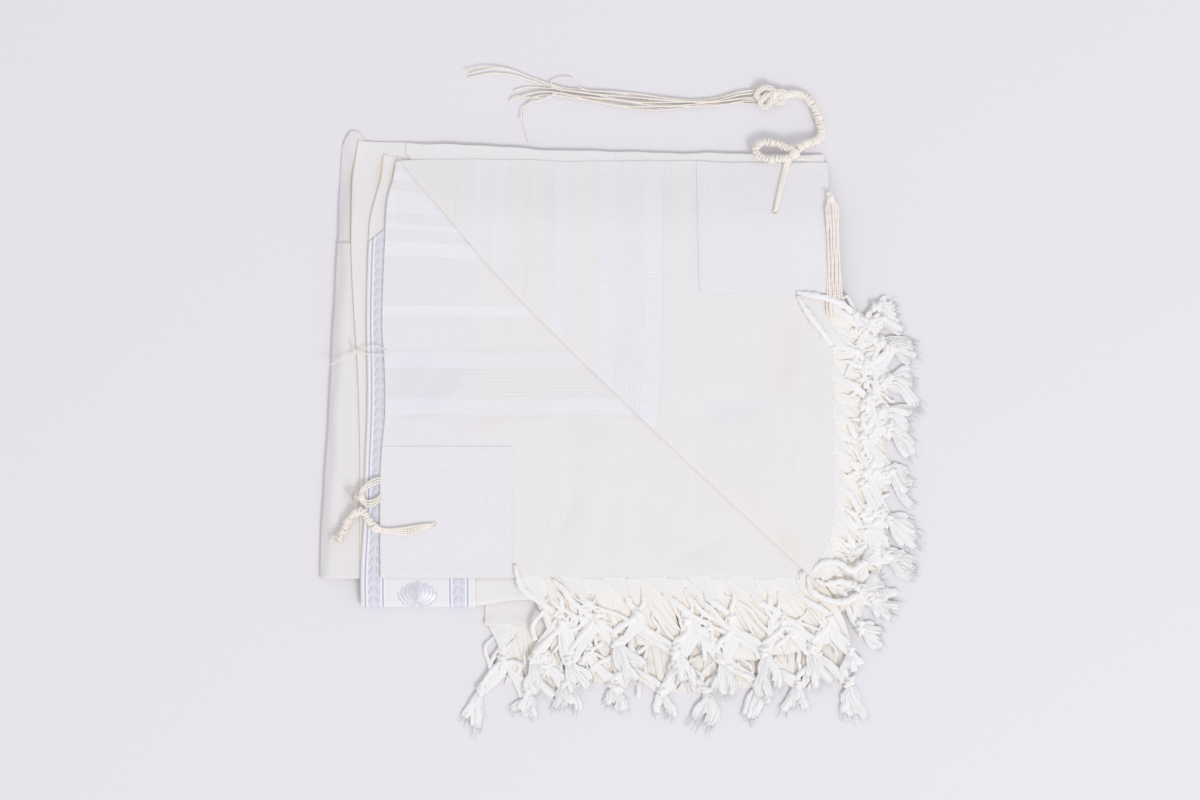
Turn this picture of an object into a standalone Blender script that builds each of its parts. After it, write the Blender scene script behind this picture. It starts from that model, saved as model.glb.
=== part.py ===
"""Folded tallit prayer shawl, lying flat.

The pile is built from the bottom up. The plies that nobody sees are one rounded solid.
Every ply that shows is a thin wall that follows the height of that solid.
Working units are millimetres; a mesh is scaled to metres when it is made.
+X runs to the right of the pile, +Y away from the reader and +Z up.
"""

import math

import bmesh
import bpy
import numpy as np
from mathutils import Vector

for old_object in list(bpy.data.objects):
    bpy.data.objects.remove(old_object, do_unlink=True)

MM = 0.001

# Cloth and pile
CLOTH = 1.0  # one ply as built
GAP = 0.3  # air between plies that lie on each other
PLY = CLOTH + GAP  # height that each ply adds
PILE = 7.0  # height of the hidden plies in the middle
SETTLE = 0.3  # how far the hidden solid stays below the height that carries the plies
FLOOR_GAP = 0.4  # lowest point of a fringe or string above the floor

# Ply numbers, counted up from the hidden solid
SECOND, NECK, BAND, PANEL, INNER_FLAP, FLAP = range(6)

# Outline of the pile
FLAP_LEFT = -201.6  # upper end of the diagonal fold
FLAP_TOP = 210.6
FLAP_DIAGONAL = 9.0  # x + y on the diagonal fold
FLAP_TOP_RIGHT = 182.7
PANEL_BOTTOM = -164.7
PANEL_RIGHT = 173.0
PILE_RIGHT = 181.0
PILE_SIDE = 176.0  # right side of the plies between the hidden ones and the panel
HEM_LINE = -207.5  # fringed hem of the lowest ply
HEM_LEFT = -125.0
HEM_RIGHT = 190.0
PATCH = 117.5  # side of a corner patch
PATCH_INSET = 0.3  # how far a patch's edges stand back from the cloth's
NECKBAND_WIDTH = 102.0

# Left edges of the plies, from the bottom of the pile to its top
LEFT_COLUMNS = ("y", "roll", "second", "neck", "panel")
LEFT_EDGES = (
    (-192.0, -274.0, -236.8, -236.2, -218.3),
    (-165.0, -273.6, -236.8, -236.2, -218.3),
    (-110.0, -270.6, -236.8, -233.3, -218.7),
    (-60.0, -267.9, -236.8, -232.2, -217.8),
    (-20.0, -265.9, -237.4, -230.4, -214.2),
    (20.0, -263.7, -238.7, -230.1, -214.3),
    (60.0, -261.5, -241.2, -231.0, -216.5),
    (100.0, -259.4, -243.6, -230.5, -215.8),
    (136.0, -257.8, -244.8, -229.1, -214.2),
    (160.0, -257.4, -244.5, -226.9, -213.2),
    (176.0, -257.0, -244.3, -222.9, -211.7),
    (192.0, -256.6, -244.0, -218.7, -207.5),
    (216.0, -255.4, -240.7, -216.1, -204.0),
    (231.0, -253.6, -238.3, -214.0, -202.0),
    (238.5, -250.0, -237.0, -213.0, -201.0),
)

# Top edges of the plies, from left to right
TOP_COLUMNS = ("x", "second", "inner_flap")
TOP_EDGES = (
    (-245.0, 230.0, 224.0),
    (-236.0, 227.0, 223.5),
    (-200.0, 221.5, 222.8),
    (-130.0, 218.5, 222.0),
    (-70.0, 215.5, 218.0),
    (40.0, 213.5, 216.5),
    (180.0, 212.0, 215.0),
)

# How close grid lines stand to each edge of a ply
NEAR_LEFT = (0.0, 22.0, 44.0)
NEAR_RIGHT = (0.0, 14.0, 30.0, 46.0)
NEAR_BOTTOM = (0.0, 10.0, 20.0, 34.0)
NEAR_TOP = (0.0, 8.0, 16.0, 26.0, 38.0)
INNER_LINES = 4


def ease(share):
    """Rise smoothly from 0 to 1 while the share does."""
    share = min(max(share, 0.0), 1.0)
    return share * share * (3.0 - 2.0 * share)


def read_table(table, column, at):
    """Read one column of a table smoothly, by the rising values of its first column."""
    keys = [row[0] for row in table]
    values = [row[column] for row in table]
    slopes = np.gradient(values, keys)
    index = int(np.clip(np.searchsorted(keys, at) - 1, 0, len(keys) - 2))
    span = keys[index + 1] - keys[index]
    t = min(max((at - keys[index]) / span, 0.0), 1.0)
    start = (1 + 2 * t) * (1 - t) ** 2 * values[index]
    leave = t * (1 - t) ** 2 * span * slopes[index]
    arrive = t * t * (t - 1) * span * slopes[index + 1]
    end = t * t * (3 - 2 * t) * values[index + 1]
    return float(start + leave + arrive + end)


def left_edge(ply):
    """Give the left edge of a ply as a function of y."""
    column = LEFT_COLUMNS.index(ply)
    return lambda y: read_table(LEFT_EDGES, column, y)


def top_edge(ply):
    """Give the top edge of a ply as a function of x."""
    column = TOP_COLUMNS.index(ply)
    return lambda x: read_table(TOP_EDGES, column, x)


def support(x, y):
    """Height of the hidden plies, with soft waves and edges that fall away."""
    waves = 0.45 * math.sin(x / 55 + 0.6) * math.cos(y / 70) + 0.3 * math.sin((x + y) / 42)
    top_drop = 1.6 + 1.5 * ease((x + 240) / 60)
    fall_top = top_drop * (1 - ease((232 - y) / 46))
    fall_right = 2.2 * (1 - ease((192 - x) / 45))
    fall_bottom = 2.0 * (1 - ease((y + 194) / 35))
    fall_left = 0.8 * (1 - ease((x + 268) / 45))
    return PILE + waves - fall_top - fall_right - fall_bottom - fall_left


def underside(x, y, ply):
    """Height at which a ply's lower face lies."""
    return support(x, y) + GAP + ply * PLY


def material(name, colour, roughness=0.85):
    """Make one plain cloth or thread material."""
    made = bpy.data.materials.new(name)
    made.use_nodes = True
    shader = made.node_tree.nodes["Principled BSDF"]
    shader.inputs["Base Color"].default_value = (*colour, 1.0)
    shader.inputs["Roughness"].default_value = roughness
    return made


WOOL = material("white_wool", (0.86, 0.85, 0.83))
SATIN = material("white_satin", (0.88, 0.88, 0.87), 0.6)
BROCADE = material("neckband_brocade", (0.72, 0.76, 0.88), 0.45)
FRINGE = material("fringe_yarn", (0.90, 0.90, 0.89))
TZITZIT = material("tzitzit_wool", (0.85, 0.80, 0.70))


def finish(name, mesh_builder, look):
    """Turn a bmesh in millimetres into a closed object in metres."""
    bmesh.ops.scale(mesh_builder, vec=(MM, MM, MM), verts=mesh_builder.verts)
    bmesh.ops.recalc_face_normals(mesh_builder, faces=mesh_builder.faces)
    mesh = bpy.data.meshes.new(name)
    mesh_builder.to_mesh(mesh)
    mesh_builder.free()
    mesh.materials.append(look)
    made = bpy.data.objects.new(name, mesh)
    bpy.context.collection.objects.link(made)
    return made


def add_grid(mesh_builder, points):
    """Add rows of points and the quads between them."""
    verts = [[mesh_builder.verts.new(point) for point in row] for row in points]
    for row, next_row in zip(verts, verts[1:]):
        for index in range(len(row) - 1):
            mesh_builder.faces.new((row[index], row[index + 1], next_row[index + 1], next_row[index]))
    return verts


def border(verts):
    """List the vertices round a grid in order."""
    right = [row[-1] for row in verts[1:-1]]
    left = [row[0] for row in reversed(verts[1:-1])]
    return verts[0] + right + list(reversed(verts[-1])) + left


def join_rings(mesh_builder, ring, next_ring):
    """Join two rings of equal count with quads."""
    for index in range(len(ring)):
        after = (index + 1) % len(ring)
        mesh_builder.faces.new((ring[index], ring[after], next_ring[after], next_ring[index]))


def wall(name, outer, inner, look):
    """Close a thin wall between two grids of points that face each other."""
    mesh_builder = bmesh.new()
    outer_verts = add_grid(mesh_builder, outer)
    inner_verts = add_grid(mesh_builder, inner)
    join_rings(mesh_builder, border(outer_verts), border(inner_verts))
    return finish(name, mesh_builder, look)


def stations(low, high, near_low, near_high, lines=INNER_LINES):
    """Places from low to high, closer together near the two edges."""
    scale = min(1.0, (high - low) / (1.25 * (near_low[-1] + near_high[-1])))
    first = low + near_low[-1] * scale
    last = high - near_high[-1] * scale
    inner = [first + (last - first) * line / (lines + 1) for line in range(1, lines + 1)]
    lower = [low + distance * scale for distance in near_low]
    upper = [high - distance * scale for distance in reversed(near_high)]
    return lower + inner + upper


def ply_plan(left, right, bottom, top):
    """Lay a grid of (x, y) points over a ply, row by row from its bottom edge."""
    guesses = stations(left(0.0), right(0.0), NEAR_LEFT, NEAR_RIGHT)
    row_count = len(NEAR_BOTTOM) + INNER_LINES + len(NEAR_TOP)
    plan = []
    for row in range(row_count):
        line = []
        for column, guess in enumerate(guesses):
            y = stations(bottom(guess), top(guess), NEAR_BOTTOM, NEAR_TOP)[row]
            x = stations(left(y), right(y), NEAR_LEFT, NEAR_RIGHT)[column]
            line.append((x, y))
        plan.append(line)
    return plan


def lay(plan, ply, rise=0.0):
    """Give a plan the height of a ply's lower face, plus a rise."""
    return [[(x, y, underside(x, y, ply) + rise) for x, y in row] for row in plan]


def lying_ply(name, plan, ply, look):
    """Make a ply that simply lies on the ones below."""
    return wall(name, lay(plan, ply, CLOTH), lay(plan, ply), look)


# Where the neck ply turns down round the bottom of the pile
TURN_REACH = 4.5  # from the turn line to the ply's inner face
TURN_END = 2.7  # height of the inner face where the turned ply ends
TURN_STEPS = 5


def turn_line(x):
    """y at which the neck ply starts to turn down."""
    return -184.9 + 5.0 * ease((x + 134) / 40)


def turned_rows(columns, out):
    """Rows of points round the bottom turn, a distance out from the neck ply's inner face."""
    rows = []
    for step in range(TURN_STEPS, 0, -1):
        angle = math.pi / 2 - math.pi * step / TURN_STEPS
        row = []
        for x in columns:
            y = turn_line(x)
            inner_top = underside(x, y, NECK)
            middle = (inner_top + TURN_END) / 2
            rise = (inner_top - TURN_END) / 2 + out
            reach = TURN_REACH + out
            row.append((x, y - reach * math.cos(angle), middle + rise * math.sin(angle)))
        rows.append(row)
    return rows


# ---------------------------------------------------------------- hidden plies
HIDDEN_FOLDS = 5
HIDDEN_LINES = 13
HIDDEN_LEFT = -229.5
HIDDEN_TOP = 206.0
BEHIND_TURN = 1.5  # from the turn line of the neck ply to the hidden plies
CREASE_DEPTH = 2.2


def hidden_layers():
    """Make the plies inside the pile as one solid whose sides show stacked folds."""
    last = HIDDEN_LINES - 1
    shares = [(ease(line / last) + line / last) / 2 for line in range(HIDDEN_LINES)]
    plan = []
    for share_y in shares:
        line = []
        for share_x in shares:
            x = HIDDEN_LEFT + (PILE_RIGHT - HIDDEN_LEFT) * share_x
            bottom = turn_line(x) + BEHIND_TURN
            line.append((x, bottom + (HIDDEN_TOP - bottom) * share_y))
        plan.append(line)

    def pushed_in(row, column, depth):
        x, y = plan[row][column]
        x += depth * ((column == 0) - (column == last))
        y += depth * ((row == 0) - (row == last))
        return x, y

    mesh_builder = bmesh.new()
    top_points = []
    for row in range(HIDDEN_LINES):
        line = []
        for column in range(HIDDEN_LINES):
            x, y = pushed_in(row, column, CREASE_DEPTH)
            line.append((x, y, support(x, y) - SETTLE))
        top_points.append(line)
    ring = border(add_grid(mesh_builder, top_points))
    places = [(0, column) for column in range(HIDDEN_LINES)]
    places += [(row, last) for row in range(1, last)]
    places += [(last, column) for column in range(last, -1, -1)]
    places += [(row, 0) for row in range(last - 1, 0, -1)]
    for fold in range(HIDDEN_FOLDS):
        for half in (0.5, 1.0):
            share = 1 - (fold + half) / HIDDEN_FOLDS
            points = []
            for index, (row, column) in enumerate(places):
                bulge = 0.9 + 0.9 * math.sin(index * 0.7 + fold * 2.1)
                x, y = pushed_in(row, column, bulge if half == 0.5 else CREASE_DEPTH)
                points.append(mesh_builder.verts.new((x, y, (support(x, y) - SETTLE) * share)))
            join_rings(mesh_builder, ring, points)
            ring = points
    mesh_builder.faces.new(ring)
    return finish("hidden_layers", mesh_builder, WOOL)


# ---------------------------------------------------------------- outer folds
ROLL_RADIUS = 6.0
ROLL_STEPS = 6
ROLL_END = -231.0  # where the outer plies stop, beside the hidden ones
FLOOR_LEG = 12.0
ROLL_BOTTOM = -165.6
ROLL_TOP = 238.5
OVERLAY_TOP = 136.0
ROLLED_ON_TOP = (0.35, 0.7, 1.0)  # lines on top of the pile, as shares of the way to ROLL_END
UPPER_ROWS = (0.22, 0.5, 0.74, 0.9, 1.0)  # rows above the overlay


def roll_section(y, inset):
    """Section through a ply that rolls over the pile's left side, from the floor upwards."""
    left = left_edge("roll")(y) + inset
    turn_x = left + ROLL_RADIUS
    high = support(turn_x, y) - inset
    low = inset * (1 - ease((y - OVERLAY_TOP) / 20))
    section = [(turn_x + FLOOR_LEG, low)]
    for step in range(ROLL_STEPS + 1):
        angle = -math.pi / 2 + math.pi * step / ROLL_STEPS
        x = turn_x - ROLL_RADIUS * math.cos(angle)
        section.append((x, (high + low) / 2 + (high - low) / 2 * math.sin(angle)))
    for share in ROLLED_ON_TOP:
        x = turn_x + (ROLL_END - turn_x) * share
        section.append((x, support(x, y) - inset))
    return section


def rolled_ply(name, rows, inset):
    """Make a ply that rolls over the left side and lies under the second ply."""
    outer = []
    inner = []
    for y in rows:
        outline = roll_section(y, inset)
        inner_line = []
        for index, (x, z) in enumerate(outline):
            before = outline[max(index - 1, 0)]
            after = outline[min(index + 1, len(outline) - 1)]
            along = Vector((after[0] - before[0], after[1] - before[1])).normalized()
            inner_line.append((x + along.y * CLOTH, y, z - along.x * CLOTH))
        outer.append([(x, y, z) for x, z in outline])
        inner.append(inner_line)
    return wall(name, outer, inner, WOOL)


def outer_folds():
    """Make the two plies of the outermost fold."""
    lower_rows = [ROLL_BOTTOM + (OVERLAY_TOP - ROLL_BOTTOM) * row / 6 for row in range(7)]
    upper_rows = [OVERLAY_TOP + (ROLL_TOP - OVERLAY_TOP) * share for share in UPPER_ROWS]
    rolled_ply("outer_fold", lower_rows + upper_rows, PLY)
    rolled_ply("outer_fold_overlay", lower_rows, 0.0)


# ---------------------------------------------------------------- plies with the neck edge
SECOND_BOTTOM = -170.0


def second_layer():
    """Make the ply that shows down the left side."""
    plan = ply_plan(left_edge("second"), lambda y: PILE_SIDE, lambda x: SECOND_BOTTOM, top_edge("second"))
    lying_ply("second_layer", plan, SECOND, WOOL)


def neck_top(x):
    """Top edge of the neck ply, which dips where it goes under the turned corner."""
    return 219.0 - 7.0 * ease((x + 236) / 40)


def turned_ply(name, plan, ply, out, look):
    """Make a ply that lies on the pile and turns down round its bottom."""
    columns = [x for x, y in plan[0]]
    outer = turned_rows(columns, out + CLOTH)[:-1] + lay(plan, ply, CLOTH)
    inner = turned_rows(columns, out)[:-1] + lay(plan, ply)
    wall(name, outer, inner, look)


def neckband_layer():
    """Make the ply that carries the neckband."""
    plan = ply_plan(left_edge("neck"), lambda y: PILE_SIDE, turn_line, neck_top)
    turned_ply("neckband_layer", plan, NECK, 0.0, WOOL)


NECKBAND_LEFT = -235.5
NECKBAND_TOP = 136.4  # where the slanted end starts, at the ribbon's left edge
NECKBAND_SLANT = 0.8
NECKBAND_HIGHEST = 204.0
NECKBAND_INSET = 0.5  # from the ply's edge to the ribbon's
NECKBAND_COLUMNS = 5


def neckband():
    """Make the ribbon along the neck edge, cut on a slant at its top end."""
    row_count = len(NEAR_BOTTOM) + INNER_LINES + len(NEAR_TOP)
    right = NECKBAND_LEFT + NECKBAND_WIDTH
    plan = []
    for row in range(row_count):
        line = []
        for column in range(NECKBAND_COLUMNS + 1):
            share = column / NECKBAND_COLUMNS
            across = NECKBAND_WIDTH * share
            top = min(NECKBAND_TOP + NECKBAND_SLANT * across, NECKBAND_HIGHEST)
            y = stations(turn_line(NECKBAND_LEFT + across), top, NEAR_BOTTOM, NEAR_TOP)[row]
            left = left_edge("neck")(y) + NECKBAND_INSET
            line.append((left + (right - left) * share, y))
        plan.append(line)
    turned_ply("neckband", plan, BAND, PLY, BROCADE)


PANEL_TOP = 209.5


def lower_panel():
    """Make the striped end panel."""
    plan = ply_plan(left_edge("panel"), lambda y: PANEL_RIGHT, lambda x: PANEL_BOTTOM, lambda x: PANEL_TOP)
    lying_ply("lower_panel", plan, PANEL, SATIN)


HEM_STEPS = 12
HEM_TUCK = 0.5  # how far the hem stops short of the turn line


def lowest_layer():
    """Make the fringed hem of the ply that lies on the floor."""
    outer = []
    inner = []
    for column in range(HEM_STEPS + 1):
        x = HEM_LEFT + (HEM_RIGHT - HEM_LEFT) * column / HEM_STEPS
        ends = (HEM_LINE, (HEM_LINE + turn_line(x)) / 2, turn_line(x) - HEM_TUCK)
        outer.append([(x, y, CLOTH) for y in ends])
        inner.append([(x, y, 0.0) for y in ends])
    wall("lowest_layer", outer, inner, WOOL)


# ---------------------------------------------------------------- turned corners
FOLD_RADIUS = 1.55
FOLD_STEPS = 4
FOLD_LEG = 4.0
FOLD_LIFT = 0.3
FLAP_COLUMNS = (0.0, 0.04, 0.09, 0.15, 0.23, 0.33, 0.44, 0.55, 0.66, 0.77, 0.87, 0.94, 1.0)
NEAR_FOLD = (0.0, 7.0, 18.0)
INNER_FLAP_LEFT = -196.0
INNER_FLAP_BACK = 12.0  # how far the inner corner stays behind the outer one's diagonal, in x + y
INNER_FLAP_INSET = 3.0  # and behind its right edge


def flap_top(x):
    """Top edge of the turned corner, a little wavy."""
    return FLAP_TOP - 2.7 * (x - FLAP_LEFT) / (FLAP_TOP_RIGHT - FLAP_LEFT) + 0.6 * math.sin(x / 26)


def flap_right(y):
    """Right edge of the turned corner, which bends in to the tip."""
    return FLAP_TOP_RIGHT + 0.0195 * (FLAP_TOP - y) - 15.0 * ease((-100 - y) / 65)


def flap_swell(x, y):
    """How far the cloth stands up beside the diagonal fold."""
    distance = max(x + y - FLAP_DIAGONAL, 0.0) / math.sqrt(2)
    return 0.8 * (1 - ease(distance / 30))


def flap_column(share, start, end, diagonal, top):
    """Plan points up one column of a turned corner, from the diagonal to the top edge."""

    def x_at(y):
        return start + (end(y) - start) * share

    low = 0.0
    for _ in range(12):
        low = diagonal - x_at(low)
    high = top(x_at(FLAP_TOP))
    return [(x_at(y), y) for y in stations(low, high, NEAR_FOLD, NEAR_TOP)]


def turned_corner():
    """Make the corner that is turned back over the pile, folded on the diagonal."""
    diagonal = FLAP_DIAGONAL + FOLD_RADIUS * math.sqrt(2)
    outer = []
    inner = []
    for share in FLAP_COLUMNS:
        column = flap_column(share, FLAP_LEFT, flap_right, diagonal, flap_top)
        x, y = column[0]
        leg = min(FOLD_LEG, 0.4 * (column[-1][1] - y))
        bottom = underside(x, y, INNER_FLAP) + FOLD_LIFT
        upper = underside(x, y, FLAP) + CLOTH + flap_swell(x, y)
        middle = (bottom + upper) / 2
        half = (upper - bottom) / 2
        outer_line = [(x, y + leg, underside(x, y + leg, INNER_FLAP) + FOLD_LIFT)]
        inner_line = [(x, y + leg, underside(x, y + leg, INNER_FLAP) + FOLD_LIFT + CLOTH)]
        for step in range(FOLD_STEPS):
            angle = -math.pi / 2 + math.pi * step / FOLD_STEPS
            for line, thinner in ((outer_line, 0.0), (inner_line, CLOTH)):
                out = (FOLD_RADIUS - thinner) * math.cos(angle) / math.sqrt(2)
                line.append((x - out, y - out, middle + (half - thinner) * math.sin(angle)))
        for x, y in column:
            lower = underside(x, y, FLAP) + flap_swell(x, y)
            outer_line.append((x, y, lower + CLOTH))
            inner_line.append((x, y, lower))
        outer.append(outer_line)
        inner.append(inner_line)
    wall("turned_corner", outer, inner, SATIN)


def turned_corner_under():
    """Make the second corner, turned back inside the first."""
    diagonal = FLAP_DIAGONAL + INNER_FLAP_BACK
    top = top_edge("inner_flap")

    def right(y):
        return flap_right(y) - INNER_FLAP_INSET

    plan = [flap_column(share, INNER_FLAP_LEFT, right, diagonal, top) for share in FLAP_COLUMNS]
    lying_ply("turned_corner_under", plan, INNER_FLAP, SATIN)


PATCH_LINES = 2


def patch_plan(left, right, bottom, top, near_x, near_y):
    """Lay a grid over a patch, with lines as close as those of the cloth under it."""
    guesses = stations(left(0.0), right(0.0), *near_x, lines=PATCH_LINES)
    row_count = len(near_y[0]) + PATCH_LINES + len(near_y[1])
    plan = []
    for row in range(row_count):
        line = []
        for column, guess in enumerate(guesses):
            y = stations(bottom(guess), top(guess), *near_y, lines=PATCH_LINES)[row]
            line.append((stations(left(y), right(y), *near_x, lines=PATCH_LINES)[column], y))
        plan.append(line)
    return plan


def patches():
    """Make the square patches from the points of the cloth that they lie on."""
    panel_left = left_edge("panel")
    lower = patch_plan(
        lambda y: panel_left(y) + PATCH_INSET,
        lambda y: panel_left(PANEL_BOTTOM) + PATCH_INSET + PATCH,
        lambda x: PANEL_BOTTOM + PATCH_INSET,
        lambda x: PANEL_BOTTOM + PATCH_INSET + PATCH,
        (NEAR_LEFT, (0.0,)),
        (NEAR_BOTTOM, (0.0,)),
    )
    lying_ply("lower_patch", lower, PANEL + 1, SATIN)
    upper = patch_plan(
        lambda y: flap_right(y) - PATCH_INSET - PATCH,
        lambda y: flap_right(y) - PATCH_INSET,
        lambda x: flap_top(x) - PATCH_INSET - PATCH,
        lambda x: flap_top(x) - PATCH_INSET,
        ((0.0,), NEAR_RIGHT),
        ((0.0,), NEAR_TOP),
    )
    lying_ply("upper_patch", upper, FLAP + 1, SATIN)


# ---------------------------------------------------------------- strands
def add_strand(mesh_builder, root, path, radii):
    """Draw a three-sided strand out of a root triangle, along a path of ring centres."""
    ring = list(root)
    centre = sum((vert.co for vert in ring), Vector()) / 3
    arms = [vert.co - centre for vert in ring]
    points = [centre] + [Vector(point) for point in path]
    for index in range(1, len(points)):
        after = points[min(index + 1, len(points) - 1)]
        along = (after - points[index - 1]).normalized()
        arms = [arm - along * arm.dot(along) for arm in arms]
        middle = sum(arms, Vector()) / 3
        arms = [(arm - middle).normalized() for arm in arms]
        next_ring = [mesh_builder.verts.new(points[index] + arm * radii[index - 1]) for arm in arms]
        join_rings(mesh_builder, ring, next_ring)
        ring = next_ring
    mesh_builder.faces.new(ring)


STRANDS_A_KNOT = 4
STRIP_WIDTH = 2.6
ROOT_HALF = 0.9
KNOT_SPACING = 2.8
TUFT_SPACING = 5.4
# How one strand runs, from its root to its tip: the share of the fringe's length reached, how far
# the strand is drawn to its cord, its first knot, its second knot and its tuft, and its radius
STRAND_RUN = (
    (0.09, 1.0, 0.0, 0.0, 0.0, 0.85),
    (0.22, 0.5, 0.5, 0.0, 0.0, 1.35),
    (0.32, 0.0, 1.0, 0.0, 0.0, 1.25),
    (0.41, 0.0, 1.0, 0.0, 0.0, 1.25),
    (0.52, 0.0, 0.5, 0.5, 0.0, 1.35),
    (0.62, 0.0, 0.0, 1.0, 0.0, 1.25),
    (0.71, 0.0, 0.0, 1.0, 0.0, 1.25),
    (0.86, 0.0, 0.0, 0.2, 0.8, 1.8),
    (1.0, 0.0, 0.0, 0.0, 1.0, 2.1),
)


def bunched(index, size, offset, pitch, spacing):
    """Where a strand stands along the edge when its group of a given size draws together."""
    group = (index + offset) // size
    place = (index + offset) % size
    centre = (group * size - offset + (size - 1) / 2 + 0.5) * pitch
    return centre + (place - (size - 1) / 2) * spacing


def fringe(name, run, groups, length, edge, strip_height, height):
    """Make a knotted fringe: a narrow strip along a cloth edge with the strands drawn out of it.

    run is the edge's length, edge(along, out) gives plan points beyond it, and
    height(along, out) is the strands' middle height above the floor.
    """
    count = groups * STRANDS_A_KNOT
    pitch = run / count
    mesh_builder = bmesh.new()

    def strip_vert(along, out, rise):
        x, y = edge(along, out)
        return mesh_builder.verts.new((x, y, strip_height(along) + rise))

    inner_low, inner_high, outer_low, outer_high = [], [], [], []
    for index in range(count):
        along = (index + 0.5) * pitch
        inner_low.append(strip_vert(along, GAP, 0.0))
        inner_high.append(strip_vert(along, GAP, CLOTH))
        left = strip_vert(along - ROOT_HALF, GAP + STRIP_WIDTH, 0.0)
        right = strip_vert(along + ROOT_HALF, GAP + STRIP_WIDTH, 0.0)
        outer_low.append((left, right))
        outer_high.append(strip_vert(along, GAP + STRIP_WIDTH, CLOTH))
    new_face = mesh_builder.faces.new
    for index in range(count):
        left, right = outer_low[index]
        new_face((inner_low[index], left, right))
        if index + 1 < count:
            next_left = outer_low[index + 1][0]
            new_face((inner_low[index], right, next_left, inner_low[index + 1]))
            new_face((inner_high[index], inner_high[index + 1], outer_high[index + 1], outer_high[index]))
            new_face((inner_low[index], inner_low[index + 1], inner_high[index + 1], inner_high[index]))
            new_face((right, outer_high[index], outer_high[index + 1], next_left))
    new_face((inner_low[0], inner_high[0], outer_high[0], outer_low[0][0]))
    new_face((inner_low[-1], outer_low[-1][1], outer_high[-1], inner_high[-1]))
    for index in range(count):
        cord = bunched(index, 2, 0, pitch, KNOT_SPACING)
        first = bunched(index, STRANDS_A_KNOT, 0, pitch, KNOT_SPACING)
        second = bunched(index, STRANDS_A_KNOT, 2, pitch, KNOT_SPACING)
        tuft = bunched(index, STRANDS_A_KNOT, 2, pitch, TUFT_SPACING)
        inner_strand = index % STRANDS_A_KNOT in (1, 2)
        path = []
        radii = []
        for reach, to_cord, to_first, to_second, to_tuft, radius in STRAND_RUN:
            along = cord * to_cord + first * to_first + second * to_second + tuft * to_tuft
            out = STRIP_WIDTH + length * reach * (1 + 0.09 * math.sin(along / 29 + 1.3))
            along += reach * 5.0 * math.sin(out / 17 + along / 45)
            x, y = edge(along, out)
            lift = to_first * inner_strand + to_second * (not inner_strand)
            path.append((x, y, height(along, out) + lift))
            radii.append(radius)
        add_strand(mesh_builder, (*outer_low[index], outer_high[index]), path, radii)
    return finish(name, mesh_builder, FRINGE)


FLOOR_STRAND = FLOOR_GAP + 1.7  # middle height of a strand that lies on the floor
UPPER_STRAND = FLOOR_STRAND + 3.6  # and of one that lies on another fringe


PANEL_FRINGE = (-98.0, 268.0, 8, 92.0)  # x where it starts, run, groups and length
LOWER_FRINGE = (HEM_LEFT + 2.0, HEM_RIGHT - HEM_LEFT - 4.0, 9, 78.0)
FLAP_FRINGE = (91.0, 252.0, 8, 78.0)  # this one starts at a y and runs down


def panel_fringe():
    """Make the fringe of the end panel, which falls over the turned ply onto the lower fringe."""
    start, run, groups, length = PANEL_FRINGE

    def edge(along, out):
        slant = 0.16 + 0.27 * ease(along / run) ** 2
        return start + along + out * slant, PANEL_BOTTOM - out

    def strip_height(along):
        return underside(start + along, PANEL_BOTTOM, PANEL)

    def height(along, out):
        high = strip_height(along) + CLOTH / 2 + 0.5
        return high + (UPPER_STRAND - high) * ease((out - 18) / 30)

    fringe("fringe_panel", run, groups, length, edge, strip_height, height)


def lower_fringe():
    """Make the fringe of the lowest ply, which lies on the floor."""
    start, run, groups, length = LOWER_FRINGE

    def edge(along, out):
        slant = -0.12 + 0.3 * along / run
        return start + along + out * slant, HEM_LINE - out

    def height(along, out):
        return 1.2 + (FLOOR_STRAND - 1.2) * ease(out / 14)

    fringe("fringe_lower", run, groups, length, edge, lambda along: FLOOR_GAP, height)


def flap_fringe():
    """Make the fringe of the turned corner, which falls over the pile's right side."""
    start, run, groups, length = FLAP_FRINGE

    def edge(along, out):
        y = start - along
        angle = -math.radians(3 + 42 * ease(along / run))
        return flap_right(y) + out * math.cos(angle), y + out * math.sin(angle)

    def strip_height(along):
        y = start - along
        x = flap_right(y)
        return underside(x, y, FLAP) + flap_swell(x, y)

    def height(along, out):
        high = strip_height(along) + CLOTH / 2
        return high + (FLOOR_STRAND - high) * ease((out - 2) / 34)

    fringe("fringe_flap", run, groups, length, edge, strip_height, height)


# ---------------------------------------------------------------- tzitzit
HEAD_SIDES = 8


def smooth_path(points, count):
    """Read evenly spaced points from a smooth curve through the given ones."""
    knots = [Vector(point) for point in points]
    knots = [knots[0] * 2 - knots[1]] + knots + [knots[-1] * 2 - knots[-2]]
    fine = []
    for index in range(1, len(knots) - 2):
        before, start, end, after = knots[index - 1:index + 3]
        for step in range(8):
            t = step / 8
            fine.append(
                0.5
                * (
                    2 * start
                    + (end - before) * t
                    + (2 * before - 5 * start + 4 * end - after) * t * t
                    + (3 * start - before - 3 * end + after) * t ** 3
                )
            )
    fine.append(knots[-2])
    lengths = [0.0]
    for start, end in zip(fine, fine[1:]):
        lengths.append(lengths[-1] + (end - start).length)
    path = []
    for step in range(count):
        target = lengths[-1] * step / (count - 1)
        index = int(np.clip(np.searchsorted(lengths, target) - 1, 0, len(fine) - 2))
        share = (target - lengths[index]) / max(lengths[index + 1] - lengths[index], 1e-6)
        path.append(fine[index].lerp(fine[index + 1], share))
    return path


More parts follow.
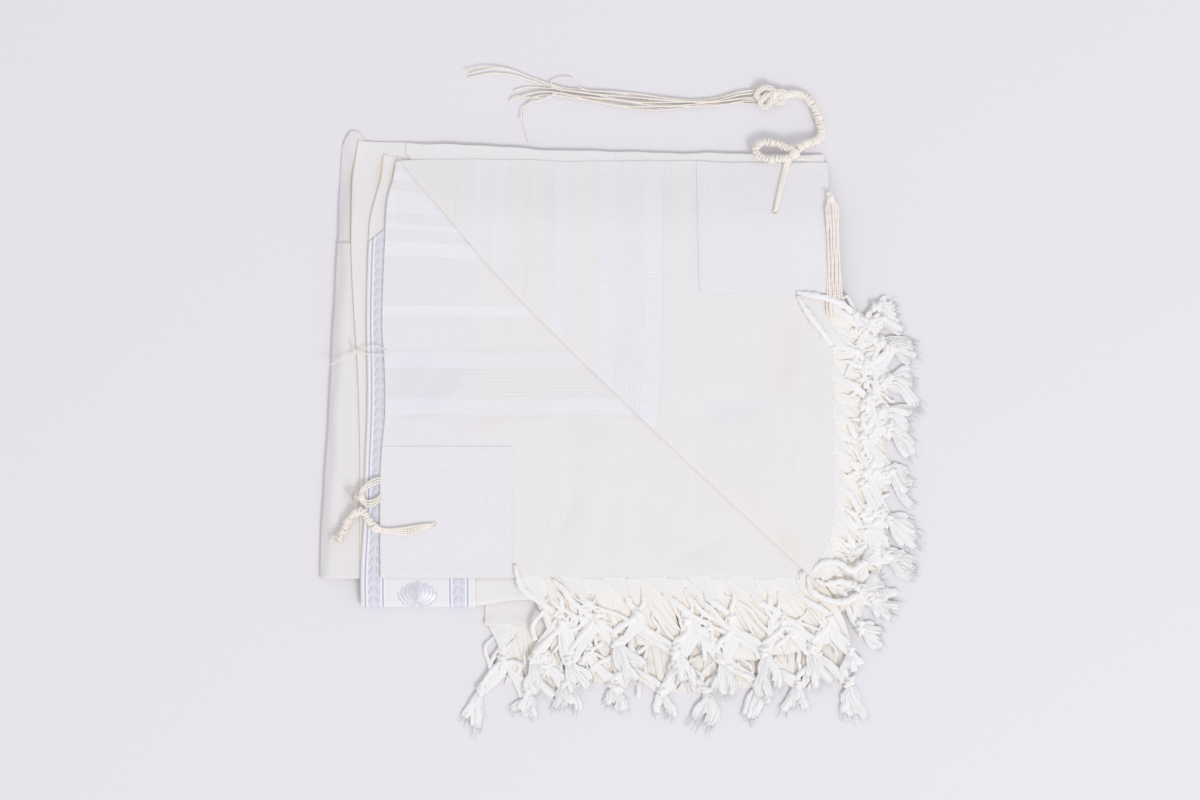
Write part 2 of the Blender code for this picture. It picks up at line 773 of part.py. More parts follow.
def tassel(name, head, radii, start_strands, end_strands):
    """Make a wound head with strands drawn out of the faces at its two ends.

    Each end's strands are given as {corner of the end: (path, radius)}.
    """
    mesh_builder = bmesh.new()
    rings = []
    across = Vector((0, 0, 1))
    for index, point in enumerate(head):
        before = head[max(index - 1, 0)]
        after = head[min(index + 1, len(head) - 1)]
        along = (after - before).normalized()
        across = (across - along * across.dot(along)).normalized()
        side = along.cross(across)
        ring = []
        for corner in range(HEAD_SIDES):
            angle = 2 * math.pi * (corner + 0.5) / HEAD_SIDES
            arm = across * math.cos(angle) + side * math.sin(angle)
            ring.append(mesh_builder.verts.new(point + arm * radii[index]))
        if rings:
            join_rings(mesh_builder, rings[-1], ring)
        rings.append(ring)
    for ring, point, strands in ((rings[0], head[0], start_strands), (rings[-1], head[-1], end_strands)):
        middle = mesh_builder.verts.new(point)
        for corner in range(HEAD_SIDES):
            root = (middle, ring[corner], ring[(corner + 1) % HEAD_SIDES])
            if corner in strands:
                path, radius = strands[corner]
                add_strand(mesh_builder, root, path, [radius] * len(path))
            else:
                mesh_builder.faces.new(root)
    return finish(name, mesh_builder, TZITZIT)


def wound(count, knots, radius, knot_radius):
    """Radii down a wound head of `count` rings, thicker over the rings of its knots."""
    radii = []
    for index in range(count):
        turn = 0.22 * (-1) ** index
        knotted = any(first <= index <= last for first, last in knots)
        radii.append((knot_radius if knotted else radius) + turn)
    return radii


STRING = 0.7  # radius of one tzitzit string
HEAD = 3.2  # radius of the wound part
KNOT = 4.6  # radius of a double knot


def resting(x, y, ply, radius):
    """A point at which a string or head of this radius lies on top of a ply."""
    return x, y, underside(x, y, ply) + CLOTH + GAP + radius


# The loose strings of the upper tassel lie in a bundle and part near their ends
UPPER_BUNDLE = (
    (120.0, 267.3),
    (104.4, 266.0),
    (86.0, 263.2),
    (68.4, 261.9),
    (40.0, 261.2),
    (14.4, 262.4),
    (-8.0, 265.5),
    (-26.0, 268.0),
    (-45.0, 270.5),
    (-58.0, 272.6),
)
# For each string: how far aside it stands in the bundle, its height, and where its end strays
UPPER_STRINGS = (
    (2.5, 3.2, ((-84.0, 284.5), (-104.0, 292.0), (-124.0, 294.0), (-142.5, 290.5))),
    (3.9, 1.2, ((-80.0, 281.0), (-98.0, 286.5), (-118.0, 288.5), (-140.5, 285.0))),
    (1.3, 1.2, ((-76.0, 275.6), (-88.0, 276.0), (-99.0, 272.5))),
    (-1.3, 1.2, ((-74.0, 271.6), (-86.0, 270.5), (-101.0, 264.5))),
    (-3.9, 1.2, ((-70.0, 267.6), (-82.0, 265.0), (-89.5, 257.5), (-90.5, 244.0), (-85.5, 226.0))),
    (-4.1, 3.2, ((-68.0, 267.0), (-76.0, 263.5), (-80.0, 257.5))),
    (-1.6, 3.2, ((-76.0, 271.6), (-93.0, 267.5))),
    (0.5, 3.2, ((-78.0, 277.0), (-96.0, 279.5))),
)
UPPER_HEAD_RINGS = 30
UPPER_HEAD_KNOTS = ((0, 1), (24, 25), (27, 29))  # first and last ring of each knot


def upper_tzitzit():
    """Make the tassel of the turned corner: up from its eyelet, wound, knotted, with loose strings."""
    on_floor = FLOOR_GAP + HEAD + 0.5
    knot_height = FLOOR_GAP + KNOT + 0.3
    head_points = (
        (149.4, 217.8, 16.4),
        (153.5, 225.0, 12.5),
        (160.0, 232.0, 7.5),
        (168.5, 236.5, 4.6),
        (176.0, 239.5, on_floor),
        (180.0, 247.0, on_floor),
        (178.5, 256.5, on_floor),
        (174.0, 265.0, on_floor),
        (163.0, 270.5, on_floor),
        (152.0, 269.6, knot_height),
        (138.0, 268.3, knot_height),
        (127.0, 268.0, knot_height),
    )
    radii = wound(UPPER_HEAD_RINGS, UPPER_HEAD_KNOTS, HEAD, KNOT)
    to_eyelet = [(146.5, 211.5, 15.6)]
    for x, y in ((143.5, 204.0), (140.5, 190.0), (138.0, 176.0), (136.0, 163.5)):
        to_eyelet.append(resting(x, y, FLAP + 1, STRING + 0.15))
    beside = [(x + 2.2, y - 0.3, z) for x, y, z in to_eyelet]
    loop = (
        (143.0, 219.5, 15.2),
        (135.0, 227.5, 13.0),
        (124.5, 229.0, 12.0),
        (120.0, 223.0, 12.6),
        (126.0, 218.0, 13.4),
    )
    low_loop = (
        (142.0, 214.5, 15.0),
        (134.0, 213.0, 14.0),
        (125.0, 213.0, 13.4),
        (117.5, 216.5, 12.8),
    )
    short_end = [(155.5, 213.5, 15.4), (162.0, 212.0, 13.9), (167.5, 212.8, 13.2)]
    start = {
        5: (smooth_path(loop, 8), 1.5),
        4: (smooth_path(low_loop, 6), 1.3),
        2: (to_eyelet, STRING),
        1: (beside, STRING),
        0: (short_end, 1.3),
    }
    end = {}
    for corner, (aside, height, stray) in enumerate(UPPER_STRINGS):
        path = [(x, y + aside * (0.75 + 0.25 * math.cos(x / 23)), height) for x, y in UPPER_BUNDLE]
        path += [(x, y, height) for x, y in stray]
        end[corner] = (smooth_path(path, len(UPPER_BUNDLE) + 2 + len(stray)), STRING)
    tassel("tzitzit_upper", smooth_path(head_points, UPPER_HEAD_RINGS), radii, start, end)


LOWER_HEAD_RINGS = 15
LOWER_HEAD_KNOTS = ((0, 1), (14, 14))
LOWER_HEAD = 2.9  # radius of its wound part
LOWER_KNOT = 3.6


def lower_tzitzit():
    """Make the tassel of the lower corner, whose strings are tucked back under the panel."""
    head_points = (
        (-223.5, -121.0, 14.4),
        (-228.5, -112.0, 14.2),
        (-235.5, -104.0, 13.4),
        (-243.0, -107.0, 11.2),
        (-248.5, -116.0, 10.2),
        (-253.0, -125.0, 10.0),
        (-256.8, -131.5, 9.9),
    )
    radii = wound(LOWER_HEAD_RINGS, LOWER_HEAD_KNOTS, LOWER_HEAD, LOWER_KNOT)
    to_eyelet = [(-218.0, -122.6, 14.9)]
    for x, y in ((-209.0, -123.0), (-196.0, -121.5), (-183.0, -118.5), (-172.0, -116.2)):
        to_eyelet.append(resting(x, y, PANEL + 1, STRING + 0.15))
    beside = [(x, y + 2.2, z) for x, y, z in to_eyelet]
    start = {6: (beside, STRING), 2: (to_eyelet, STRING)}
    tassel("tzitzit_lower", smooth_path(head_points, LOWER_HEAD_RINGS), radii, start, {})


LOOP_SPREAD = 1.1  # each of its two strings stands this far from their middle line


def lower_tzitzit_loop():
    """Make the knotted loop in the lower tassel's strings, which runs back under the panel."""
    head_points = ((-233.5, -86.5, 13.6), (-237.0, -89.5, 13.5), (-237.6, -93.0, 13.5), (-235.6, -95.6, 13.6))
    upper_path = ((-228.5, -81.0, 13.2), (-224.0, -78.0, 12.6), (-219.4, -76.6, 12.4))
    lower_path = ((-230.5, -97.2, 13.3), (-225.0, -96.8, 12.7), (-219.6, -94.6, 12.4))
    start = {}
    for corner, shift in ((1, -LOOP_SPREAD), (7, LOOP_SPREAD)):
        start[corner] = ([(x, y + shift, z) for x, y, z in upper_path], STRING)
    end = {}
    for corner, shift in ((2, -LOOP_SPREAD), (6, LOOP_SPREAD)):
        end[corner] = ([(x, y + shift, z) for x, y, z in lower_path], STRING)
    tassel("tzitzit_lower_loop", smooth_path(head_points, 5), [2.2, 2.5, 2.3, 2.5, 2.2], start, end)


SIDE_HEAD = 2.6
SIDE_STEPS = 8
SIDE_STEP = 14.0  # length of one step down the side strings


def side_tzitzit():
    """Make the tassel of the inner turned corner, tucked under the outer one and down its side."""
    tucked = underside(183.4, 190.0, FLAP) - GAP - SIDE_HEAD
    head_points = ((183.4, 190.0, tucked), (184.2, 185.0, tucked - 0.2), (185.8, 179.0, tucked - 0.9))
    end = {}
    for corner in range(HEAD_SIDES - 1):
        angle = 2 * math.pi * (corner + 1) / HEAD_SIDES
        path = []
        for step in range(SIDE_STEPS):
            y = 172.0 - step * SIDE_STEP
            aside = -math.sin(angle) * (2.1 + 0.3 * step) + 0.2 * math.sin(y / 17 + corner)
            height = 6.4 - 0.35 * step + 2.0 * math.cos(angle)
            path.append((187.3 + step * 0.55 + aside, y, height))
        end[corner] = (path, STRING)
    radii = [SIDE_HEAD - 0.6, SIDE_HEAD, SIDE_HEAD, SIDE_HEAD]
    tassel("tzitzit_side", smooth_path(head_points, 4), radii, {}, end)


hidden_layers()
outer_folds()
second_layer()
neckband_layer()
neckband()
lower_panel()
lowest_layer()
turned_corner_under()
turned_corner()
patches()
panel_fringe()
lower_fringe()
flap_fringe()
upper_tzitzit()
lower_tzitzit()
lower_tzitzit_loop()
side_tzitzit()
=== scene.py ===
"""Looks of the folded tallit prayer shawl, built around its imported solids.

Sizes are in millimetres in the shawl's own frame, +X to the right, +Y away and +Z up.
"""

import math

import bmesh
import bpy
import numpy as np
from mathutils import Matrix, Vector


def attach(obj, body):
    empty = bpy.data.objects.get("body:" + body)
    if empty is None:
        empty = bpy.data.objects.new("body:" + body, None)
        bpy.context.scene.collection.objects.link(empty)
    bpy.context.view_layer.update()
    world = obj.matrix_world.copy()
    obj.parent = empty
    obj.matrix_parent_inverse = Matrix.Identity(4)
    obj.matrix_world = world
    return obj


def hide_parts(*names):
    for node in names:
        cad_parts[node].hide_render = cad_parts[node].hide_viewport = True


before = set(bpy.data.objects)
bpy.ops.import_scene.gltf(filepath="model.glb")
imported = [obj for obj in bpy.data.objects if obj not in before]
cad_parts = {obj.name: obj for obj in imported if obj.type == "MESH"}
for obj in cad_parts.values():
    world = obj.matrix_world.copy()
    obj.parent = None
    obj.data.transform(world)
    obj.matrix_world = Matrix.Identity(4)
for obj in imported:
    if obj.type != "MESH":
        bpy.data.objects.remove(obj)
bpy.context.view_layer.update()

# ---------------------------------------------------------------- folded inside of the pile
# One length of fine white wool, folded into a pile about 10 mm high. Of the plies inside it only
# the folded edges show, at the right side and the top. Nothing fixes them but the cloth on top.
MM = 0.001
FLOOR_GAP = 0.05  # lowest that any piece lies
GAP = 0.3  # air between plies
PLY = 1.3  # height that each ply adds
PILE = 7  # height of the inside
WOOL_THICKNESS = 0.75
INSIDE_LEFT, INSIDE_RIGHT, INSIDE_TOP = -229.5, 181, 206
INSIDE_FOLDS = 5  # folded double plies, one on the other
FOLD_ROUND = 0.8  # how far in from its edge a folded ply is rounded


def ease(share):
    """Rise smoothly from 0 to 1 while the share does."""
    share = np.clip(share, 0, 1)
    return share * share * (3 - 2 * share)


# Soft creases that press through the whole pile: the ends of each, its width and its height
CREASES = (
    (-41, -28, -56, -152, 9, -1.1),
    (-72, -118, -84, -168, 10, 0.6),
    (-30, -112, -38, -166, 9, 0.6),
    (34, -148, 100, -127, 9, -0.8),
    (60, -112, 112, -98, 12, 0.5),
    (-92, -21, 26, -28, 12, -0.6),
    (48, -14, 136, -19, 14, -0.8),
    (60, 20, 140, 14, 15, 0.5),
    (152, 70, 139, 2, 12, -0.7),
    (168, 20, 150, -96, 9, 0.5),
    (58, 214, 66, 88, 8, -0.9),
    (44, 208, 46, 110, 10, 0.5),
    (-63, 212, -72, 120, 6.5, -0.8),
    (-109, 214, -110, 160, 6, -0.7),
    (8, 190, 14, 80, 15, 0.4),
    (-210, -34, -132, 38, 12, -0.6),
    (-205, 2, -160, 34, 10, 0.4),
    (-190, 104, -120, 84, 9, 0.4),
    (-80, -64, -6, -88, 13, 0.4),
)


def fade(distance, reach, height=1):
    """A height that fades away smoothly over its reach."""
    return height * (1 - ease(distance / reach))


def stroke(x, y, x0, y0, x1, y1, width):
    """How much of a soft, slightly wavy stroke between two places is felt at x and y."""
    length = math.hypot(x1 - x0, y1 - y0)
    along = ((x - x0) * (x1 - x0) + (y - y0) * (y1 - y0)) / length
    across = ((y - y0) * (x1 - x0) - (x - x0) * (y1 - y0)) / length
    across = across + 0.2 * width * np.sin(along / 13)
    ends = ease(along / (0.35 * length)) * ease((length - along) / (0.35 * length))
    return ends * np.exp(-((across / width) ** 2) * 2)


def creases(x, y):
    """Height of the soft creases."""
    return sum(depth * stroke(x, y, *places, width) for *places, width, depth in CREASES)


# Soft strokes of colour on the wool: from x, y to x, y, their width, and how much red, green and
# blue they add. Some tint the wool by what lies beneath it. Many are painted shade: darker along
# the troughs of several creases, below the turned bottom of the pile, along the rolled left fold,
# and warm and darker at the lifted left edges and top corners of the plies. Three thin light
# strokes along the diagonal fold are a painted highlight.
TINT_AND_SHADE_STROKES = (
    (-214, -36, -128, 42, 14, (-0.052, -0.054, -0.026)),
    (-196, 2, -140, 10, 16, (-0.02, -0.02, -0.004)),
    (-170, -30, -92, -25, 10, (-0.014, -0.036, -0.038)),
    (-60, -20, -10, -44, 14, (-0.012, -0.014, -0.006)),
    (156, 78, 136, -6, 15, (-0.006, -0.044, -0.05)),
    (40, 202, 44, 128, 12, (-0.022, -0.024, -0.014)),
    (-66, -134, -30, -84, 8, (-0.026, -0.028, -0.022)),
    (108, 62, 72, 118, 13, (-0.014, -0.006, -0.008)),
    (20, -120, 84, -150, 16, (-0.012, -0.014, -0.008)),
    (60, -8, 138, -20, 15, (-0.018, -0.02, 0)),
    (60, 212, 64, 92, 9, (-0.014, -0.018, 0)),
    (78, 66, 112, 30, 24, (0.006, 0.01, -0.002)),
    (84, -62, 166, -152, 15, (0.008, -0.002, -0.03)),
    (138, -118, 170, -160, 10, (0, -0.02, -0.07)),
    # painted shade along the troughs of two creases
    (-63, 214, -70, 140, 7, (-0.03, -0.026, 0)),
    (-109, 216, -110, 164, 6.5, (-0.03, -0.026, 0)),
    (-206, 186, -150, 160, 20, (0.012, 0.008, 0.008)),
    # painted highlight: a light line along the diagonal fold
    (-200, 208, -106, 99, 2.6, (0.022, 0.014, -0.008)),
    (-106, 99, 27.2, -32.8, 2.6, (0.022, 0.014, -0.008)),
    (27.2, -32.8, 160.8, -157.3, 2.6, (0.022, 0.014, -0.008)),
    (171, 84, 174, -70, 13, (-0.014, -0.018, -0.018)),
    # painted shade on the lowest hem, below the turned bottom of the pile
    (-122, -199, 186, -199, 14, (-0.035, -0.04, -0.03)),
    # painted shade along the left side of the rolled fold, more so on its upper part
    (-254, 238, -259, 120, 7, (-0.08, -0.11, -0.06)),
    (-241, 330, -280, -330, 6.5, (-0.12, -0.12, -0.1)),
    # painted shade, warm and darker, at the lifted left edge of the second ply and the top left corners of
    # the neck ply and end panel
    (-243, 232, -247, 120, 4, (0, -0.05, -0.1)),
    (-217.5, 219, -221, 178, 4.5, (-0.02, -0.08, -0.17)),
    (-204.5, 214, -208.5, 176, 4.5, (-0.02, -0.08, -0.17)),
)


def keep_at_points(mesh, name, values):
    """Keep three numbers at each point of a piece, for its material."""
    attribute = mesh.attributes.new(name, "FLOAT_VECTOR", "POINT")
    attribute.data.foreach_set("vector", np.asarray(values, np.float32).ravel())


def tint_and_shade_at(x, y):
    """The red, green and blue by which the wool is tinted at x and y, painted shade and painted highlight
    included.
    """
    felt = (stroke(x, y, *stretch, width)[:, None] * np.array(shift) for *stretch, width, shift in TINT_AND_SHADE_STROKES)
    return 1 + sum(felt)


def pile_height(x, y):
    """Height of the folded inside, with soft waves and edges that fall away."""
    waves = 0.45 * np.sin(x / 55 + 0.6) * np.cos(y / 70) + 0.3 * np.sin((x + y) / 42)
    fall_top = fade(226 - y, 80, 6.5 - fade(x + 262, 50, 1.8))
    fall_sides = fade(192 - x, 45, 2.2) + fade(x + 268, 45, 0.8)
    fall_bottom = fade(y + 194, 35, 2)
    return PILE + waves - fall_top - fall_sides - fall_bottom + creases(x, y)


def turn_line(x):
    """y at which the neck ply starts to turn down round the bottom of the pile."""
    return -184.9 + 5 * ease((x + 134) / 40)


def close_to_edges(count, pull=0.8):
    """Shares from 0 to 1 that stand closer together near both ends."""
    even = np.linspace(0, 1, count)
    return even - pull * np.sin(2 * math.pi * even) / (2 * math.pi)


def quads(rows, columns, first=0):
    """Faces between the points of a grid, counted from its first point."""
    corner = first + np.arange(rows - 1)[:, None] * columns + np.arange(columns - 1)[None, :]
    return np.stack((corner, corner + 1, corner + columns + 1, corner + columns), -1).reshape(-1, 4)


def rim(rows, columns, first=0):
    """Numbers of the points round a grid, in order."""
    number = first + np.arange(rows * columns).reshape(rows, columns)
    return np.concatenate((number[0], number[1:, -1], number[-1, -2::-1], number[-2:0:-1, 0]))


def band_between(ring, next_ring):
    """Faces between two closed rings of equal count."""
    return np.stack((ring, np.roll(ring, -1), np.roll(next_ring, -1), next_ring), -1)


def make_piece(name, points, faces, material, cloth=True):
    """Make an object in metres from points in millimetres, smooth shaded, none below the floor."""
    points = np.array(points, float)
    points[:, 2] = np.maximum(points[:, 2], FLOOR_GAP)
    mesh = bpy.data.meshes.new(name)
    mesh.from_pydata((points * MM).tolist(), [], [face for part in faces for face in part.tolist()])
    mesh.shade_smooth()
    if cloth:
        # cloth keeps its tint strokes at its points; painted shade and painted highlight are among them
        keep_at_points(mesh, "tint", tint_and_shade_at(points[:, 0], points[:, 1]))
        shell = bmesh.new()
        shell.from_mesh(mesh)
        bmesh.ops.recalc_face_normals(shell, faces=shell.faces)
        shell.to_mesh(mesh)
        shell.free()
    mesh.materials.append(material)
    piece = bpy.data.objects.new(name, mesh)
    bpy.context.scene.collection.objects.link(piece)
    return piece


def unit(vectors):
    """The same directions with a length of one."""
    return vectors / np.maximum(np.linalg.norm(vectors, axis=-1, keepdims=True), 1e-9)


def cloth_shell(name, middle, thickness, material):
    """Give a grid of points a cloth's thickness, with rounded edges all round."""
    rows, columns = middle.shape[:2]
    down, across = np.gradient(middle, axis=(0, 1))
    half = unit(np.cross(across, down)) * thickness / 2
    outwards = np.zeros((rows, columns, 3))
    outwards[0] -= down[0]
    outwards[-1] += down[-1]
    outwards[:, 0] -= across[:, 0]
    outwards[:, -1] += across[:, -1]
    edge = rim(rows, columns)
    round_edge = middle.reshape(-1, 3)[edge] + unit(outwards.reshape(-1, 3)[edge]) * thickness * 0.4
    count = rows * columns
    ring = 2 * count + np.arange(len(edge))
    faces = [quads(rows, columns), quads(rows, columns, count)]
    faces += [band_between(ring, edge), band_between(edge + count, ring)]
    sides = [(middle + half).reshape(-1, 3), (middle - half).reshape(-1, 3)]
    return make_piece(name, np.concatenate(sides + [round_edge]), faces, material)


class Shade:
    """A number or colour that a material's nodes work out; plain arithmetic adds more nodes."""

    def __init__(self, nodes, socket):
        self.nodes, self.socket = nodes, socket

    def add(self, kind, inputs, output=0, **settings):
        """Add one node, fill or link its inputs, and give back one of its outputs."""
        node = self.nodes.nodes.new(kind)
        for setting, value in settings.items():
            setattr(node, setting, value)
        for socket, value in inputs.items():
            if isinstance(value, Shade):
                self.nodes.links.new(value.socket, node.inputs[socket])
            else:
                node.inputs[socket].default_value = value
        return Shade(self.nodes, node.outputs[output])

    def step(self, operation, *others, kind="ShaderNodeMath"):
        """One step of arithmetic."""
        return self.add(kind, dict(enumerate((self, *others))), operation=operation)

    def __add__(self, other):
        return self.step("ADD", other)

    def __sub__(self, other):
        return self.step("SUBTRACT", other)

    def __mul__(self, other):
        return self.step("MULTIPLY", other)

    def __pow__(self, other):
        return self.step("POWER", other)

    def sine(self):
        """Its sine."""
        return self.step("SINE")

    def times(self, other):
        """A colour made darker or tinted by another shade."""
        return self.step("MULTIPLY", other, kind="ShaderNodeVectorMath")

    def mix(self, colour, other):
        """Mix two colours by this share."""
        return self.add("ShaderNodeMix", {0: self, 6: colour, 7: other}, 2, data_type="RGBA")

    def parts(self):
        """The three numbers of a place."""
        return [self.add("ShaderNodeSeparateXYZ", {0: self}, axis) for axis in range(3)]


class Finish(Shade):
    """A material in the making: its shader, and x and y in millimetres in the shawl's frame."""

    def __init__(self, name, roughness, sheen=0, specular=0.3):
        self.material = bpy.data.materials.new(name)
        self.material.use_nodes = True
        super().__init__(self.material.node_tree, None)
        self.shader = self.nodes.nodes["Principled BSDF"]
        self.set(**{"Roughness": roughness, "Sheen Weight": sheen, "Specular IOR Level": specular})
        self.place = self.add("ShaderNodeTexCoord", {}, 3)
        self.x, self.y = (part * 1000 for part in self.place.parts()[:2])

    def set(self, **values):
        """Give the shader values that are the same all over the material."""
        for socket, value in values.items():
            self.shader.inputs[socket].default_value = value

    def link(self, socket, shade):
        """Lead a shade to one of the shader's sockets."""
        self.nodes.links.new(shade.socket, self.shader.inputs[socket])

    def kept(self, name):
        """What is kept at the piece's points under that name."""
        return self.add("ShaderNodeAttribute", {}, 1, attribute_name=name)

    def noise(self, stretch, detail=2):
        """Uneven grey, with that many features a metre in each direction."""
        mapped = self.add("ShaderNodeMapping", {"Vector": self.place, "Scale": stretch})
        return self.add("ShaderNodeTexNoise", {"Vector": mapped, "Scale": 1, "Detail": detail})

    def relief(self, height, strength, depth):
        """Let a height in grey show as relief, depth in metres."""
        inputs = {"Strength": strength, "Distance": depth, "Height": height}
        self.link("Normal", self.add("ShaderNodeBump", inputs))

    def paint_hollow_shade(self, colour, reach, warm, power, most):
        """Painted shade: make wool warmer and darker where it is close to other wool, standing for the shade
        in its hollows and the warm light that passes through it.
        """
        opening = self.add("ShaderNodeAmbientOcclusion", {"Distance": reach}, 1, samples=6)
        return ((opening * -1 + 1) ** power * most).mix(colour, warm)


THREAD = 0.62  # from one thread of the wool to the next
SLUB = 0.05  # how much the threads differ in brightness
# colour of the painted shade in the wool's hollows
PAINTED_HOLLOW_SHADE = (0.86, 0.69, 0.5, 1)
WOOL_WHITE = (0.885, 0.862, 0.875, 1)
WOOL_CREAM = (0.872, 0.845, 0.85, 1)
WOOL_ROUGHNESS, WOOL_SHEEN = 0.82, 0.15


def weave(cloth):
    """Brightness and height of a fine plain weave with uneven threads."""
    uneven = cloth.noise((780, 26, 40)) + cloth.noise((26, 780, 40))
    warp, weft = ((way * (2 * math.pi / THREAD)).sine() for way in (cloth.x, cloth.y))
    return uneven, warp * weft * 0.3 + uneven


def finish_wool(cloth, colour, uneven, height):
    """Give wool its colour, thread by thread, and the relief of its weave."""
    cloth.link("Base Color", colour.times(uneven * SLUB + (1 - SLUB)))
    cloth.relief(height, 0.35, 0.0003)
    return cloth.material


def plain_wool(name, light, dark):
    """Fine white wool that is a little creamier where the plies beneath press through, with the painted shade
    and highlight of the tint strokes and painted shade in its hollows.
    """
    cloth = Finish(name, WOOL_ROUGHNESS, WOOL_SHEEN)
    uneven, height = weave(cloth)
    colour = cloth.noise((14, 9, 10), 3).mix(light, dark).times(cloth.kept("tint"))
    # painted warm shade in the hollows
    colour = cloth.paint_hollow_shade(colour, 0.004, PAINTED_HOLLOW_SHADE, 1.2, 1)
    return finish_wool(cloth, colour, uneven, height)


wool = plain_wool("fine_white_wool", WOOL_WHITE, WOOL_CREAM)


def folded_inside():
    """Stack the folded plies, each a little out of line with the next."""
    shares = close_to_edges(38, 0.9)
    across, up = np.meshgrid(shares, shares)
    points = []
    faces = []
    first = 0
    for fold in range(INSIDE_FOLDS):
        out = 1.3 * math.sin(fold * 2.3) + 0.8 * np.sin(up * 9 + fold * 1.7)
        left = INSIDE_LEFT + 0.6 * math.sin(fold * 1.9 + 1)
        x = left + (INSIDE_RIGHT + out - left) * across
        bottom = turn_line(x) + 1.8
        top = INSIDE_TOP + 1.2 * math.sin(fold * 1.7 + 2) + 0.7 * np.sin(across * 11 + fold)
        y = bottom + (top - bottom) * up
        height = pile_height(x, y) - 0.35
        low = height * fold / INSIDE_FOLDS + FLOOR_GAP + 0.02 * fold
        high = height * (fold + 1) / INSIDE_FOLDS - FLOOR_GAP
        to_edge = np.minimum(np.minimum(x - x[:, :1], x[:, -1:] - x), np.minimum(y - y[:1], y[-1:] - y))
        roundness = np.sqrt(np.clip(1 - (1 - np.clip(to_edge / FOLD_ROUND, 0, 1)) ** 2, 0, 1))
        middle, half = (low + high) / 2, (high - low) / 2 * roundness
        rows, columns = x.shape
        edge = rim(rows, columns)
        top_side = np.stack((x, y, middle + half), -1).reshape(-1, 3)
        under_side = np.stack((x, y, middle - half), -1).reshape(-1, 3)
        under = first + rows * columns + np.arange(rows * columns)
        under[edge] = first + edge
        points += [top_side, under_side]
        faces.append(quads(rows, columns, first))
        faces.append(under[quads(rows, columns)])
        first += 2 * rows * columns
    return make_piece("inside_folds", np.concatenate(points), faces, wool)


def settle(piece, node):
    """Let a piece ride on the shawl's one body, in place of its solid."""
    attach(piece, "root")
    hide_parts(node)


inside = folded_inside()
settle(inside, "hidden_layers")


# ---------------------------------------------------------------- outer folds
# The outermost plies roll over the pile's left side in a soft round fold. They are the same wool,
# creamy where it is doubled, and lie with no fixing. A second ply starts below the upper third.
def smooth_line(places, values):
    """A smooth curve through a few values, as a function."""
    places, values = np.array(places, float), np.array(values, float)
    slopes = np.gradient(values, places)

    def at(place):
        place = np.clip(place, places[0], places[-1])
        index = np.clip(np.searchsorted(places, place) - 1, 0, len(places) - 2)
        span = places[index + 1] - places[index]
        t = (place - places[index]) / span
        leave = values[index] + t * (span * slopes[index] + 2 * values[index])
        arrive = values[index + 1] + (t - 1) * (span * slopes[index + 1] - 2 * values[index + 1])
        return (1 - t) ** 2 * leave + t * t * arrive

    return at


# Left edges of the plies, upwards: y, outer fold, second ply, neck ply, end panel
LEFT_EDGES = (
    (-192, -274, -236.8, -236.2, -218.3),
    (-165, -273.6, -236.8, -236.2, -218.3),
    (-110, -270.6, -236.8, -233.3, -218.7),
    (-60, -267.9, -236.8, -232.2, -217.8),
    (-20, -265.9, -237.4, -230.4, -214.2),
    (20, -263.7, -238.7, -230.1, -214.3),
    (60, -261.5, -241.2, -231, -216.5),
    (100, -259.4, -243.6, -230.5, -215.8),
    (136, -257.8, -244.8, -229.1, -214.2),
    (160, -257.4, -244.5, -226.9, -213.2),
    (176, -257, -244.3, -222.9, -211.7),
    (192, -256.6, -244, -218.7, -207.5),
    (216, -255.4, -240.7, -216.1, -204),
    (231, -253.6, -238.3, -214, -202),
    (238.5, -250, -237, -213, -201),
)
EDGE_PLACES = [row[0] for row in LEFT_EDGES]
fold_left, second_left, neck_left, panel_left = (
    smooth_line(EDGE_PLACES, [row[column] for row in LEFT_EDGES]) for column in range(1, 5)
)
ROLL_RADIUS = 10.5
ROLL_END = -231
ROLL_BOTTOM, ROLL_TOP = -165.6, 238.5
OVERLAY_TOP = 136
FLOOR_LEG = 12
LOWEST_TOP = 1.65  # the upper face is never lower than this

DOUBLED_WHITE = (0.875, 0.848, 0.862, 1)
DOUBLED_CREAM = (0.86, 0.828, 0.832, 1)
# The rolled fold is painted darker along its left side and over its upper part: painted shade, from the tint
# strokes.
cream_wool = plain_wool("cream_doubled_wool", DOUBLED_WHITE, DOUBLED_CREAM)


